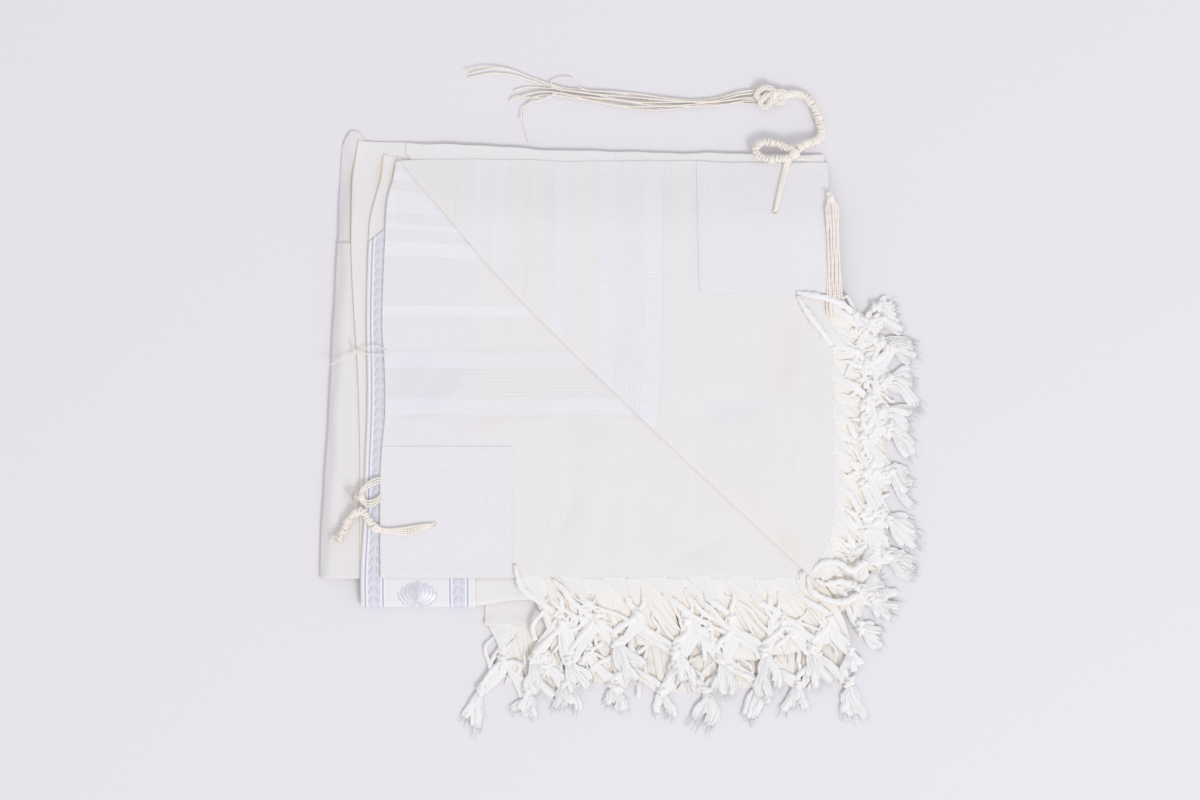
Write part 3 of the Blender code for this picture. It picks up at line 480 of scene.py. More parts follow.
def rolled_ply(name, low_end, high_end, inset, steps):
    """Roll a ply over the left side of the pile, from the floor to the top."""
    y = low_end + (high_end - low_end) * close_to_edges(steps, 0.6)
    left = fold_left(y) + inset + 0.5 * np.sin(y / 37 + 1) * ease((high_end - y) / 60)
    turn = left + ROLL_RADIUS
    slump = 0.5 * np.sin(y / 23) + 0.35 * np.sin(y / 9.5 + 2)
    high = np.maximum(pile_height(turn, y) - inset + 0.2 * slump, LOWEST_TOP)
    low = fade(y - OVERLAY_TOP, 20, inset) + FLOOR_GAP
    sections = [(turn + FLOOR_LEG * share, low) for share in (1, 0.75, 0.5, 0.25)]
    for angle in np.linspace(-math.pi / 2, math.pi / 2, 15):
        reach = ROLL_RADIUS * math.cos(angle) * (1 + 0.05 * slump)
        middle, half = (high + low) / 2, (high - low) / 2
        sections.append((turn - reach, middle + half * math.sin(angle)))
    for share in np.linspace(0.06, 1, 12):
        x = turn + (ROLL_END - turn) * share
        streak = 0.12 * np.sin(x / 2.1 + y / 90) * math.sin(math.pi * share)
        top = pile_height(x, y) - inset + 0.2 * slump * (1 - share) + streak
        sections.append((x, np.maximum(top, LOWEST_TOP)))
    near_top = ease((y - high_end + 30) / 30) * ease((high_end - OVERLAY_TOP) / 20)
    rows = []
    for x, z in sections:
        in_from_left = np.maximum(x - left, 0)
        round_corner = 6 - np.sqrt(36 - np.maximum(6 - in_from_left, 0) ** 2)
        drop = 0.3 * in_from_left + 1.4 * np.maximum(in_from_left - 10.5, 0) + round_corner
        rows.append(np.stack((x, y - near_top * drop, z + 0 * y), -1))
    middle = np.stack(rows, 1)
    up, across = np.gradient(middle, axis=(0, 1))
    outwards = unit(np.cross(across, up))
    outwards *= np.sign(outwards[steps // 2, -1, 2])
    return cloth_shell(name, middle - outwards * WOOL_THICKNESS / 2, WOOL_THICKNESS, cream_wool)


outer_fold = rolled_ply("outer_fold_cloth", ROLL_BOTTOM, ROLL_TOP, PLY, 90)
overlay = rolled_ply("outer_fold_overlay_cloth", ROLL_BOTTOM, OVERLAY_TOP, 0, 66)
for piece, node, length in ((outer_fold, "outer_fold", 0.404), (overlay, "outer_fold_overlay", 0.302)):
    settle(piece, node)

# ---------------------------------------------------------------- second ply and neck ply
# Two more plies of the same wool. Their left edges are hemmed selvedges, which lift a little and
# show one beside the other. The neck ply turns down round the bottom of the pile.
SECOND_BOTTOM = -170
PILE_SIDE = 176
TOP_PLACES = (-245, -236, -200, -130, -70, 40, 180)
second_top = smooth_line(TOP_PLACES, (229, 227.6, 226.2, 223, 219.4, 214.5, 212.5))
TURN_REACH = 4.5
TURN_END = 2.7
TURN_STEPS = 14
HEM_WIDTH = 2.6
SECOND, NECK, BAND, PANEL, INNER_FLAP, FLAP = range(6)


def straight(place):
    """An edge that stays at one place, as a function."""
    return lambda along: place + 0 * along


def neck_top(x):
    """Top edge of the neck ply."""
    return 219 - 7 * ease((x + 236) / 40)


def ply_height(x, y, ply):
    """Height of the lower face of a ply."""
    flattened = 1 - fade(228 - y, 80, 0.68)
    return pile_height(x, y) + GAP + PLY * ply * flattened


def lay_out(left, right, bottom, top, columns, rows, pull=0.85):
    """Lay a grid over a ply, closer together near its edges."""
    across, up = np.meshgrid(close_to_edges(columns, pull), close_to_edges(rows, pull))
    x = left(0 * up) + (right(0 * up) - left(0 * up)) * across
    for _ in range(3):
        y = bottom(x) + (top(x) - bottom(x)) * up
        x = left(y) + (right(y) - left(y)) * across
    return x, y


def lifted_edge(distance, reach, height):
    """How far an edge stands up, falling off over its reach."""
    return height * fade(distance, reach) ** 1.5


def hem(distance, width, height):
    """A hem turned under along an edge, with its line of stitches pulled in."""
    return fade(distance - width, 0.8, height) - 0.14 * np.exp(-(((distance - width + 0.6) / 0.35) ** 2))


def lying_ply(name, x, y, ply, extra, material, thickness=WOOL_THICKNESS):
    """Make a ply that lies on the ones below it."""
    z = ply_height(x, y, ply) + thickness / 2 + extra
    return cloth_shell(name, np.stack((x, y, z), -1), thickness, material)


x, y = lay_out(second_left, straight(PILE_SIDE), straight(SECOND_BOTTOM), second_top, 64, 80)
from_left = x - second_left(y)
top_corner = ease((y - 60) / 150)
free = neck_left(y) - second_left(y)
second_edge = (0.3 + 0.2 * np.sin(y / 31) + 0.5 * top_corner) * ease((free - 2) / 5)
second_lift = lifted_edge(from_left, np.minimum(free, 9), second_edge)
second_lift += hem(from_left, HEM_WIDTH, 0.14) * ease((free - HEM_WIDTH) / 2)
second_ply = lying_ply("second_ply_cloth", x, y, SECOND, second_lift, wool)


def turned_grid(columns, out):
    """Rows of points round the bottom turn, a distance out from the neck ply's inner face."""
    y = turn_line(columns)
    inner_top = ply_height(columns, y, NECK)
    rise = (inner_top - TURN_END) / 2 + out
    rows = []
    for angle in np.linspace(-math.pi / 2, math.pi / 2, TURN_STEPS + 1)[:-1]:
        height = (inner_top + TURN_END) / 2 + rise * math.sin(angle)
        rows.append(np.stack((columns, y - (TURN_REACH + out) * math.cos(angle), height), -1))
    return np.stack(rows)


def neck_edge_lift(x, y):
    """How far the hemmed left edge of the neck ply stands up."""
    from_left = x - neck_left(y)
    top_corner = ease((y - 90) / 125)
    height = 0.2 + 0.12 * np.sin(y / 27 + 1.3) + 0.6 * top_corner
    lift = lifted_edge(from_left, 8, height) * ease((y + 188) / 30)
    return lift + hem(from_left, HEM_WIDTH, 0.12) * ease((y + 188) / 20)


x, y = lay_out(neck_left, straight(PILE_SIDE), turn_line, neck_top, 74, 86)
flat = np.stack((x, y, ply_height(x, y, NECK) + WOOL_THICKNESS / 2 + neck_edge_lift(x, y)), -1)
turned = turned_grid(x[0], WOOL_THICKNESS / 2)
neck_ply = cloth_shell("neck_ply_cloth", np.concatenate((turned, flat)), WOOL_THICKNESS, wool)

for piece, node, size in (
    (second_ply, "second_layer", (0.414, 0.388)),
    (neck_ply, "neckband_layer", (0.408, 0.414)),
):
    settle(piece, node)

# ---------------------------------------------------------------- neckband
# A satin ribbon sewn along the neck edge, cut on a slant at its top end. It is woven with two
# leaf borders between blue lines and a water lily in the field, in pale blue and silver thread.
BAND_WIDTH = 102
BAND_LEFT = -235.5
BAND_RIGHT = BAND_LEFT + BAND_WIDTH
BAND_TOP, BAND_SLANT, BAND_HIGHEST = 136.4, 0.8, 204
BAND_INSET = 0.5
RIBBON_THICKNESS = 0.6
BEND_RADIUS = 6.3  # of the ribbon round the bottom of the pile
BLUE_LINES = (3.6, 19.5, 79.5, 95.3)
SILVER_LINES = (1.6, 5.4, 17.9, 21.2, 77.9, 81.2, 93.6, 97.2)
BORDER_MIDDLES = (11.6, 87.4)
RIBBON_RIB = 1.3  # from one rib of the satin to the next
RIBBON_WHITE = (0.86, 0.855, 0.885, 1)
BORDER_BLUE = (0.775, 0.775, 0.84, 1)
SILVER_WHITE = (0.93, 0.93, 0.95, 1)
LINE_BLUE = (0.5, 0.505, 0.68, 1)


def on_band(u, s, out=0):
    """A point on the ribbon, u across it and s up from the turn line, or round the bend below 0."""
    y = turn_line(BAND_LEFT + u) + np.maximum(s, 0)
    left = neck_left(y) + BAND_INSET
    x = left + (BAND_RIGHT - left) * u / BAND_WIDTH
    flat = ply_height(x, y, BAND) + neck_edge_lift(x, y) + RIBBON_THICKNESS / 2 + out
    angle = np.clip(math.pi / 2 + np.minimum(s, 0) / BEND_RADIUS, -math.pi / 2, math.pi / 2)
    inner_top = ply_height(x, y, NECK)
    rise = (inner_top - TURN_END) / 2 + PLY + RIBBON_THICKNESS / 2 + out
    bend = (inner_top + TURN_END) / 2 + rise * np.sin(angle)
    reach = (TURN_REACH + PLY + RIBBON_THICKNESS / 2 + out) * np.cos(angle)
    return np.stack((x + 0 * s, np.where(s < 0, y - reach, y), np.where(s < 0, bend, flat)), -1)


def stripes(coordinate, table):
    """1 inside each stripe of a table of (middle, half width), and 0 elsewhere."""
    inside = (coordinate.step("COMPARE", middle, half) for middle, half in table)
    return sum(inside, coordinate * 0).step("MINIMUM", 1)


satin = Finish("neckband_satin", 0.34, sheen=0.1, specular=0.5)
satin.set(Anisotropic=0.5)
across_ribbon = satin.kept("place").parts()[0]
blue = stripes(across_ribbon, [(u, 0.62) for u in BLUE_LINES])
silver = stripes(across_ribbon, [(u, 0.55) for u in SILVER_LINES])
border = stripes(across_ribbon, [(u, 6.6) for u in BORDER_MIDDLES])
colour = border.mix(RIBBON_WHITE, BORDER_BLUE)
satin.link("Base Color", blue.mix(silver.mix(colour, SILVER_WHITE), LINE_BLUE))
satin.relief((across_ribbon * (2 * math.pi / RIBBON_RIB)).sine() * 0.25 + silver + blue, 0.5, 0.00015)

up_band = close_to_edges(126, 0.6)
u = np.linspace(0, BAND_WIDTH, 50)
slanted_top = np.minimum(BAND_TOP + BAND_SLANT * u, BAND_HIGHEST) - turn_line(BAND_LEFT + u)
around = np.linspace(-math.pi * BEND_RADIUS, 0, 19)[:-1]
s = np.concatenate((np.repeat(around[:, None], len(u), 1), slanted_top[None, :] * up_band[:, None]))
u = np.broadcast_to(u, s.shape)
neckband = cloth_shell("neckband_ribbon", on_band(u, s), RIBBON_THICKNESS, satin.material)
place = np.stack((u, s, 0 * s), -1).reshape(-1, 3)
keep_at_points(neckband.data, "place", np.concatenate((place, place, place[rim(*u.shape)])))

# The woven motifs: leaves in pairs up both borders, and a water lily at each repeat of the field
LILAC_BLUE, LILAC_LIGHT = (0.66, 0.655, 0.775, 1), (0.75, 0.745, 0.85, 1)
SILVER = (0.9, 0.91, 0.93, 1)
lilac_thread = Finish("lilac_blue_thread", 0.38, specular=0.5)
strands = lilac_thread.noise((900, 260, 300))
lilac_thread.link("Base Color", strands.mix(LILAC_BLUE, LILAC_LIGHT))
lilac_thread.relief(strands, 0.4, 0.0002)
silver_thread = Finish("silver_white_thread", 0.25, specular=0.6)
silver_thread.set(**{"Base Color": SILVER})
silver_thread.relief(silver_thread.noise((700, 700, 300)), 0.5, 0.0002)

LEAF_ALONG = np.array((0, 0.05, 0.2, 0.38, 0.56, 0.74, 0.94, 1))
LEAF_ACROSS = np.array((-1, -0.84, 0, 0.84, 1))
LEAF_PITCH = 8.9
LEAF_LENGTH, LEAF_WIDTH, LEAF_RISE = 8.6, 3.4, 0.28
LEAF_ASIDE, LEAF_LEAN, LEAF_CURL = 4.6, 0.5, 0.25  # its foot from the border's middle, and its bend
LILY_PITCH = 96


def woven_leaf(u, s, angle, length, width, height, curl=0, fullest=0.85, blunt=1):
    """Points of one raised leaf or petal: its foot, direction from upwards, size, curl and outline."""
    along, side = np.meshgrid(LEAF_ALONG, LEAF_ACROSS, indexing="ij")
    half = width / 2 * np.sin(math.pi * np.clip(along, 0.02, 0.98) ** fullest) ** blunt
    bend = angle + curl * along
    step = np.diff(LEAF_ALONG, prepend=0) * length
    step_u = np.cumsum(np.sin(bend[:, 0]) * step)
    step_s = np.cumsum(np.cos(bend[:, 0]) * step)
    leaf_u = u + step_u[:, None] + side * half * np.cos(bend)
    leaf_s = s + step_s[:, None] - side * half * np.sin(bend)
    dome = height * (np.abs(side) < 1) * (along > 0) * (along < 1)
    return leaf_u, leaf_s, dome


def weave_motifs(name, leaves, material):
    """Join many raised leaves into one piece on the ribbon."""
    points, faces, first = [], [], 0
    edge = rim(len(LEAF_ALONG), len(LEAF_ACROSS))
    count = len(LEAF_ALONG) * len(LEAF_ACROSS)
    for leaf in leaves:
        leaf_u, leaf_s, dome = woven_leaf(*leaf)
        base = RIBBON_THICKNESS / 2
        points.append(on_band(leaf_u, leaf_s, base + 0.03 + dome).reshape(-1, 3))
        points.append(on_band(leaf_u, leaf_s, base - 0.04 + 0 * dome).reshape(-1, 3)[edge])
        low = first + count + np.arange(len(edge))
        faces.append(quads(len(LEAF_ALONG), len(LEAF_ACROSS), first))
        faces.append(band_between(first + edge, low))
        first += count + len(edge)
    return make_piece(name, np.concatenate(points), faces, material, cloth=False)


leaves = []
veins = []
for middle in BORDER_MIDDLES:
    highest = BAND_TOP + BAND_SLANT * middle - turn_line(BAND_LEFT + middle) - LEAF_LENGTH
    for foot in np.arange(-13, highest, LEAF_PITCH):
        for side in (-1, 1):
            leaf = (middle + side * LEAF_ASIDE, foot, -side * LEAF_LEAN, LEAF_LENGTH, LEAF_WIDTH, LEAF_RISE)
            leaves.append(leaf + (side * LEAF_CURL,))
        veins.append((middle, foot + 0.4, 0, LEAF_PITCH * 0.98, 0.7, 0.22))
# Petals from the back of the lily to its front: angle, length, width and curl of each pair
LILY_PETALS = (
    (1.6, 20.5, 8.5, -0.95),
    (1.25, 20.5, 9.5, -0.95),
    (0.85, 20, 9.5, -0.8),
    (0.42, 19.5, 9, -0.5),
    (0, 20.5, 9.5, 0),
    (0.3, 16, 7.4, -0.45),
    (0, 14.5, 6.4, 0),
)
LILY_LEAVES = ((1.9, 13, 5, -0.4), (2.4, 10, 4.4, 0.3))
for lily in range(4):
    foot = LILY_PITCH * lily - 2.6
    middle = (BLUE_LINES[1] + BLUE_LINES[2]) / 2 + 0.6
    for layer, (angle, length, width, curl) in enumerate(LILY_LEAVES + LILY_PETALS):
        for side in (-1, 1) if angle else (1,):
            rise = 0.14 + 0.06 * layer
            for trim, kind, lift in ((0, leaves, 0), (1.1, veins, 0.02), (2.5, leaves, 0.04)):
                petal = (middle + side * 0.4, foot + trim / 2, side * angle, length - trim, width - trim)
                kind.append(petal + (rise + lift, side * curl, 1.15, 0.7))
woven = [
    weave_motifs("neckband_leaves", leaves, lilac_thread.material),
    weave_motifs("neckband_veins", veins, silver_thread.material),
]
for piece in woven:
    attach(piece, "root")
settle(neckband, "neckband")

# ---------------------------------------------------------------- end panel
# The end of the shawl, in fine wool woven with satin stripes, two ribbed bands and a group of
# thin lines between them. Its left edge is a selvedge and its bottom edge carries the fringe.
PANEL_BOTTOM, PANEL_TOP, PANEL_RIGHT = -164.7, 209.5, 173
SATIN_BANDS = ((196.4, 3.4), (173.2, 10.3), (150.7, 2.7), (130.7, 6.5), (74.7, 4.5))
RIBBED_BANDS = ((29.9, 6.1), (-11.5, 7))
THIN_LINES = [(38.9, 0.5), (-19.8, 0.5), (-22.8, 0.45)] + [(21.4 - 3.25 * line, 0.6) for line in range(8)]
# The satin's own colour is bluish white; on the panel it is painted lighter, where its sheen catches the
# light: painted light.
SATIN_WHITE_PAINTED_LIT = (0.905, 0.895, 0.945, 1)
RIB_WHITE = (0.9, 0.885, 0.95, 1)
LINE_SHADE = (0.82, 0.795, 0.79, 1)
RIB_PITCH = 1.7
WARM_WHITE = (0.88, 0.858, 0.868, 1)
WARM_CREAM = (0.868, 0.842, 0.848, 1)
BAND_BENEATH, LILY_BENEATH = (0.85, 0.848, 0.895, 1), (0.76, 0.765, 0.85, 1)


def striped_wool(name, across_stripes, bands, ribbed, lines, dark, satin_white, show_through=None):
    """Fine wool with satin stripes, ribbed bands and thin lines, and what shows through it, with the painted
    shade and highlight of the tint strokes and painted shade in its hollows.
    """
    cloth = Finish(name, WOOL_ROUGHNESS, WOOL_SHEEN)
    uneven, height = weave(cloth)
    place, along = across_stripes(cloth.x, cloth.y)
    colour = cloth.noise((12, 15, 10), 3).mix(WARM_WHITE, dark).times(cloth.kept("tint"))
    if show_through:
        colour = show_through(cloth, colour)
    satin, ribs, fine = (stripes(place, table) for table in (bands, ribbed, lines))
    rib_wave = (along * (2 * math.pi / RIB_PITCH)).sine()
    colour = (satin * 0.85).mix(colour, satin_white)
    colour = (ribs * (rib_wave * 0.18 + 0.6)).mix(colour, RIB_WHITE)
    colour = (fine * 0.45).mix(colour, LINE_SHADE)
    # painted warm shade in the hollows and beside the plies' edges
    colour = cloth.paint_hollow_shade(colour, 0.003, PAINTED_HOLLOW_SHADE, 2, 0.7)
    cloth.link("Roughness", (satin + ribs) * -0.4 + WOOL_ROUGHNESS)
    return finish_wool(cloth, colour, uneven, height + satin * 0.9 + ribs * rib_wave - fine)


def smooth_between(value, low, high):
    """0 below low, 1 above high, and smooth between."""
    inputs = {"Value": value, "From Min": low, "From Max": high}
    return value.add("ShaderNodeMapRange", inputs, interpolation_type="SMOOTHSTEP")


def panel_stripes(x, y):
    """The panel's stripes run across it, and sag to the right near its top."""
    sag = smooth_between(y, 60, 190) * 0.095
    return (x + 212) * sag + y + (x * 0.045).sine() * 0.5, x


def band_beneath(cloth, colour):
    """The bluish neckband and its motifs, faint through the wool of the panel."""
    over_band = smooth_between(cloth.x, BAND_RIGHT + 1.2, BAND_RIGHT - 0.8)
    away = ((cloth.x + 182) * (1 / 42)) ** 2 + ((cloth.y - 10) * (1 / 34)) ** 2
    blotch = cloth.noise((55, 42, 10))
    lily = smooth_between(blotch * -1.4 + away, 0.3, -0.6) * over_band
    return (lily * 0.3).mix((over_band * 0.5).mix(colour, BAND_BENEATH), LILY_BENEATH)


panel_wool = striped_wool(
    "striped_panel_wool", panel_stripes, SATIN_BANDS, RIBBED_BANDS, THIN_LINES, WARM_CREAM, SATIN_WHITE_PAINTED_LIT,
    band_beneath,
)


def panel_lift(x, y):
    """How far the panel's own edges and folds stand up from the plies under it."""
    from_left = x - panel_left(y)
    top_corner = ease((y - 120) / 85)
    lift = lifted_edge(from_left, 11, 0.2 + 0.12 * np.sin(y / 24 + 0.4) + 0.7 * top_corner)
    lift = lift + hem(from_left, 2.4, 0.1)
    from_bottom = y - PANEL_BOTTOM
    fringed = ease((x + 100) / 14)
    lift = lift + lifted_edge(from_bottom, 14, 0.35 - 0.25 * fringed)
    return lift + hem(from_bottom, 2, 0.1) * (1 - fringed)


def panel_bottom(x):
    """Bottom edge, drawn into small scallops by the roots of the fringe."""
    return PANEL_BOTTOM + 0.55 * (1 + np.sin(x / 5.4 + 1)) * ease((x + 100) / 14)


x, y = lay_out(panel_left, straight(PANEL_RIGHT), panel_bottom, straight(PANEL_TOP), 104, 104, 0.8)
panel = lying_ply("end_panel_cloth", x, y, PANEL, panel_lift(x, y), panel_wool)
settle(panel, "lower_panel")

# ---------------------------------------------------------------- lowest hem
# The fringed end of the ply that lies on the floor. It shows below the turned neck ply, and its
# left corner is a turned hem that stands a little off the floor.
HEM_LINE = -207.5
HEM_LEFT, HEM_RIGHT = -125, 190

x, share = np.meshgrid(HEM_LEFT + (HEM_RIGHT - HEM_LEFT) * close_to_edges(100, 0.7), close_to_edges(20, 0.5))
y = HEM_LINE + 0.5 * np.sin(x / 6.1) + (turn_line(x) - 1 - HEM_LINE) * share
free = fade(y - HEM_LINE, 11)
from_left = x - HEM_LEFT
z = 0.45 + free * (1.125 + 0.375 * np.sin(x / 15) + fade(from_left, 16, 2.4))
z += hem(from_left, HEM_WIDTH, 0.18)
lowest = cloth_shell("lowest_hem_cloth", np.stack((x, y, z), -1), WOOL_THICKNESS, wool)
settle(lowest, "lowest_layer")

# ---------------------------------------------------------------- turned corners
# Two corners of the shawl turned back together along one diagonal fold. The inner one shows as a
# narrow strip along the top. Their satin stripes run up and down, as the cloth is turned.
FLAP_LEFT, FLAP_TOP, FLAP_TOP_RIGHT = -201.6, 210.6, 182.7
# x + y on the fold at places along it, counted by x - y. It sags to the lower left in its middle
fold_sum = smooth_line(
    (-412, -404, -320, -244, -168, -62, 60, 189, 318, 341),
    (8.6, 7.4, 1.2, -5.8, -8.3, -7.8, -5.6, -1.5, 3.5, 4.5),
)
FOLD_RADIUS, FOLD_LIFT, FOLD_STEPS = 1.1, 0.12, 9
FLAP_BANDS = ((-131.1, 2.9), (-110.7, 5.4), (-56.9, 5.6), (6, 26))
FLAP_RIBBED = ((-14.4, 7.2), (26.8, 7))
FLAP_LINES = [(-4.6 + 3.3 * line, 0.65) for line in range(8)] + [(36.2, 0.5), (-86, 0.6), (-149, 0.7)]
INNER_BANDS = ((-161, 10), (-108.8, 6.2), (-62.5, 5.9), (-22.4, 11.6))
INNER_LINES = [(-8 + 3.4 * line, 0.65) for line in range(11)]
# The same bluish white satin, painted darker on the turned corners, where its sheen turns away from the
# light: painted shade.
CORNER_SATIN_PAINTED_SHADE = (0.876, 0.864, 0.905, 1)
INNER_CREAM = (0.878, 0.862, 0.862, 1)
INNER_FLAP_LEFT, INNER_FLAP_BACK, INNER_FLAP_INSET = -196, 12, 3
inner_top_line = smooth_line(TOP_PLACES, (227, 226.6, 225.6, 223, 219.6, 216.8, 215))


def inner_flap_top(x):
    """Top edge of the inner corner, a little wavy."""
    return inner_top_line(x) + 0.6 * np.sin(x / 12 + 1) * np.sin(x / 41) + 0.25 * np.sin(x / 5.3)


def flap_stripes(x, y):
    """The turned corner's stripes run up it and bend to the left as they near the fold."""
    lean = smooth_between(x, -60, 30) * 0.012
    near_fold = ((x + y) * -1 + 58).step("MAXIMUM", 0)
    return (y * -1 + 210) * lean + x + near_fold ** 2 * 0.001 + (y * 0.05).sine() * 0.4, y


def inner_flap_stripes(x, y):
    """The inner corner's stripes run straight up it."""
    return x, y


flap_wool = striped_wool(
    "striped_corner_wool", flap_stripes, FLAP_BANDS, FLAP_RIBBED, FLAP_LINES, WARM_CREAM, CORNER_SATIN_PAINTED_SHADE
)
inner_flap_wool = striped_wool(
    "striped_inner_corner_wool", inner_flap_stripes, INNER_BANDS, (), INNER_LINES, INNER_CREAM, CORNER_SATIN_PAINTED_SHADE
)


def flap_top(x):
    """Top edge of the turned corner, a little wavy."""
    ripple = 0.6 * np.sin(x / 26) + 0.45 * np.sin(x / 9.3 + 1) * np.sin(x / 47)
    return FLAP_TOP - 2.7 * (x - FLAP_LEFT) / (FLAP_TOP_RIGHT - FLAP_LEFT) + ripple


def flap_right(y):
    """Right edge of the turned corner, which bends in to the tip."""
    return FLAP_TOP_RIGHT + 0.0195 * (FLAP_TOP - y) - 15 * ease((-100 - y) / 65)


def inner_flap_right(y):
    """Right edge of the inner corner."""
    return flap_right(y) - INNER_FLAP_INSET


def flap_lift(x, y):
    """How far the turned corner stands up beside its fold and at its free edges."""
    from_fold = np.maximum(x + y - fold_sum(x - y), 0) / math.sqrt(2)
    swell = fade(from_fold, 30, 0.5)
    ripple = 0.5 * np.sin((x - y) / 29 + 0.5) * np.exp(-((from_fold - 26) / 22) ** 2)
    from_top = flap_top(x) - y
    top_edge = lifted_edge(from_top, 9, (0.12 + 0.1 * np.sin(x / 19)) * ease((from_fold - 6) / 20))
    from_right = flap_right(y) - x
    below_patch = ease((88 - y) / 12)
    side_edge = lifted_edge(from_right, 16, (0.5 + 0.5 * np.sin(y / 5.2)) * 0.15) * below_patch
    tip = 1.2 * ease((-90 - y) / 60) * ease(from_fold / 12)
    return swell + ripple * ease(from_fold / 10) + top_edge + side_edge + tip


def corner_plan(left, right, behind, top, columns, rows):
    """Lay a grid over a turned corner, from a place behind the diagonal fold up to the top edge."""
    across = close_to_edges(columns, 0.75)[:, None]
    low = np.zeros_like(across)
    for _ in range(14):
        at_low = left + (right(low) - left) * across
        low = fold_sum(at_low - low) + behind - at_low
    high = top(left + (right(FLAP_TOP + 0 * across) - left) * across)
    y = low + (high - low) * close_to_edges(rows, 0.8)[None, :]
    return left + (right(y) - left) * across, y


x, y = corner_plan(INNER_FLAP_LEFT, inner_flap_right, INNER_FLAP_BACK, inner_flap_top, 92, 54)
inner_lift = lifted_edge(inner_flap_top(x) - y, 8, 0.15 + 0.12 * np.sin(x / 24 + 2))
inner_lift -= fade(x + 200, 30, 0.9)
inner_corner = lying_ply("inner_turned_corner_cloth", x, y, INNER_FLAP, inner_lift, inner_flap_wool)

x, y = corner_plan(FLAP_LEFT, flap_right, FOLD_RADIUS * math.sqrt(2), flap_top, 118, 84)
fold_x, fold_y = x[:, :1], y[:, :1]


def under_fold(x, y):
    """Middle height of the turned corner's lower leaf."""
    return ply_height(x, y, INNER_FLAP) + FOLD_LIFT + WOOL_THICKNESS / 2


def over_fold(x, y):
    """Middle height of its upper leaf."""
    return ply_height(x, y, FLAP) + WOOL_THICKNESS / 2 + 0.15 + flap_lift(x, y)


low, high = under_fold(fold_x, fold_y), over_fold(fold_x, fold_y)
angle = np.linspace(-math.pi / 2, math.pi / 2, FOLD_STEPS + 1)[:-1]
reach = FOLD_RADIUS * np.cos(angle) / math.sqrt(2)
bend = np.stack((fold_x - reach, fold_y - reach, (low + high) / 2 + (high - low) / 2 * np.sin(angle)), -1)
leg_y = fold_y + np.minimum(4, 0.4 * (y[:, -1:] - fold_y)) * np.array([[1, 0.5]])
leg = np.stack((fold_x + 0 * leg_y, leg_y, under_fold(fold_x, leg_y)), -1)
top_side = np.stack((x, y, over_fold(x, y)), -1)
folded = np.concatenate((leg, bend, top_side), 1)
corner = cloth_shell("turned_corner_cloth", folded, WOOL_THICKNESS, flap_wool)

for piece, node, size, area in (
    (inner_corner, "turned_corner_under", (0.384, 0.374), 0.0757),
    (corner, "turned_corner", (0.388, 0.378), 0.08),
):
    settle(piece, node)

# ---------------------------------------------------------------- corner patches
# Square patches of close white cotton, doubled under at their edges and sewn all round near the
# edge. They strengthen the corners where the eyelets for the tassels are worked.
PATCH = 117.5
PATCH_INSET = 0.3
PATCH_THICKNESS = 0.45
PATCH_HEM, PATCH_STITCHES = 5.5, 1.6  # how far in from its edge each is
COTTON_WHITE = (0.866, 0.846, 0.877, 1)
COTTON_SHADE = (0.845, 0.827, 0.858, 1)

patch_cotton = Finish("patch_cotton", 0.7, sheen=0.1, specular=0.35)
close_weave = patch_cotton.noise((620, 90, 40)) + patch_cotton.noise((90, 620, 40))
colour = patch_cotton.noise((22, 18, 10), 3).mix(COTTON_SHADE, COTTON_WHITE)
patch_cotton.link("Base Color", colour.times(close_weave * 0.06 + 0.94))
patch_cotton.relief(close_weave, 0.3, 0.0003)


def sewn_patch(name, left, right, bottom, top, ply, lift):
    """Make a patch on the points of the ply under it, with its edges doubled under."""
    x, y = lay_out(left, right, bottom, top, 62, 62)
    to_edge = np.minimum.reduce((x - left(y), right(y) - x, y - bottom(x), top(x) - y))
    doubled = hem(to_edge, PATCH_HEM, 0.08) + 0.05 * np.exp(-(((to_edge - 4) / 1.6) ** 2))
    stitched = -0.1 * np.exp(-(((to_edge - PATCH_STITCHES) / 0.45) ** 2))
    stitched *= 0.7 + 0.3 * np.sin((x + y) / 0.45)
    puff = 0.16 * np.sin(x / 17 + 1) * np.sin(y / 14) * ease(to_edge / 25)
    extra = lift(x, y) + WOOL_THICKNESS + 0.08 + doubled + stitched + puff
    return lying_ply(name, x, y, ply, extra, patch_cotton.material, PATCH_THICKNESS)


def beside(edge, away):
    """An edge that runs a distance away from another one, as a function."""
    return lambda along: edge(along) + away


def upper_patch_lift(x, y):
    """The upper patch rises with the turned corner under it."""
    return flap_lift(x, y) + 0.15


lower_left, lower_bottom = panel_left(PANEL_BOTTOM) + PATCH_INSET, PANEL_BOTTOM + PATCH_INSET
lower_patch = sewn_patch(
    "lower_patch_cloth", beside(panel_left, PATCH_INSET), straight(lower_left + PATCH),
    straight(lower_bottom), straight(lower_bottom + PATCH), PANEL, panel_lift,
)
upper_patch = sewn_patch(
    "upper_patch_cloth", beside(flap_right, -PATCH_INSET - PATCH), beside(flap_right, -PATCH_INSET),
    beside(flap_top, -PATCH_INSET - PATCH), beside(flap_top, -PATCH_INSET), FLAP, upper_patch_lift,
)
for piece, node, beneath in (
    (lower_patch, "lower_patch", "end_panel_cloth"), (upper_patch, "upper_patch", "turned_corner_cloth"),
):
    settle(piece, node)

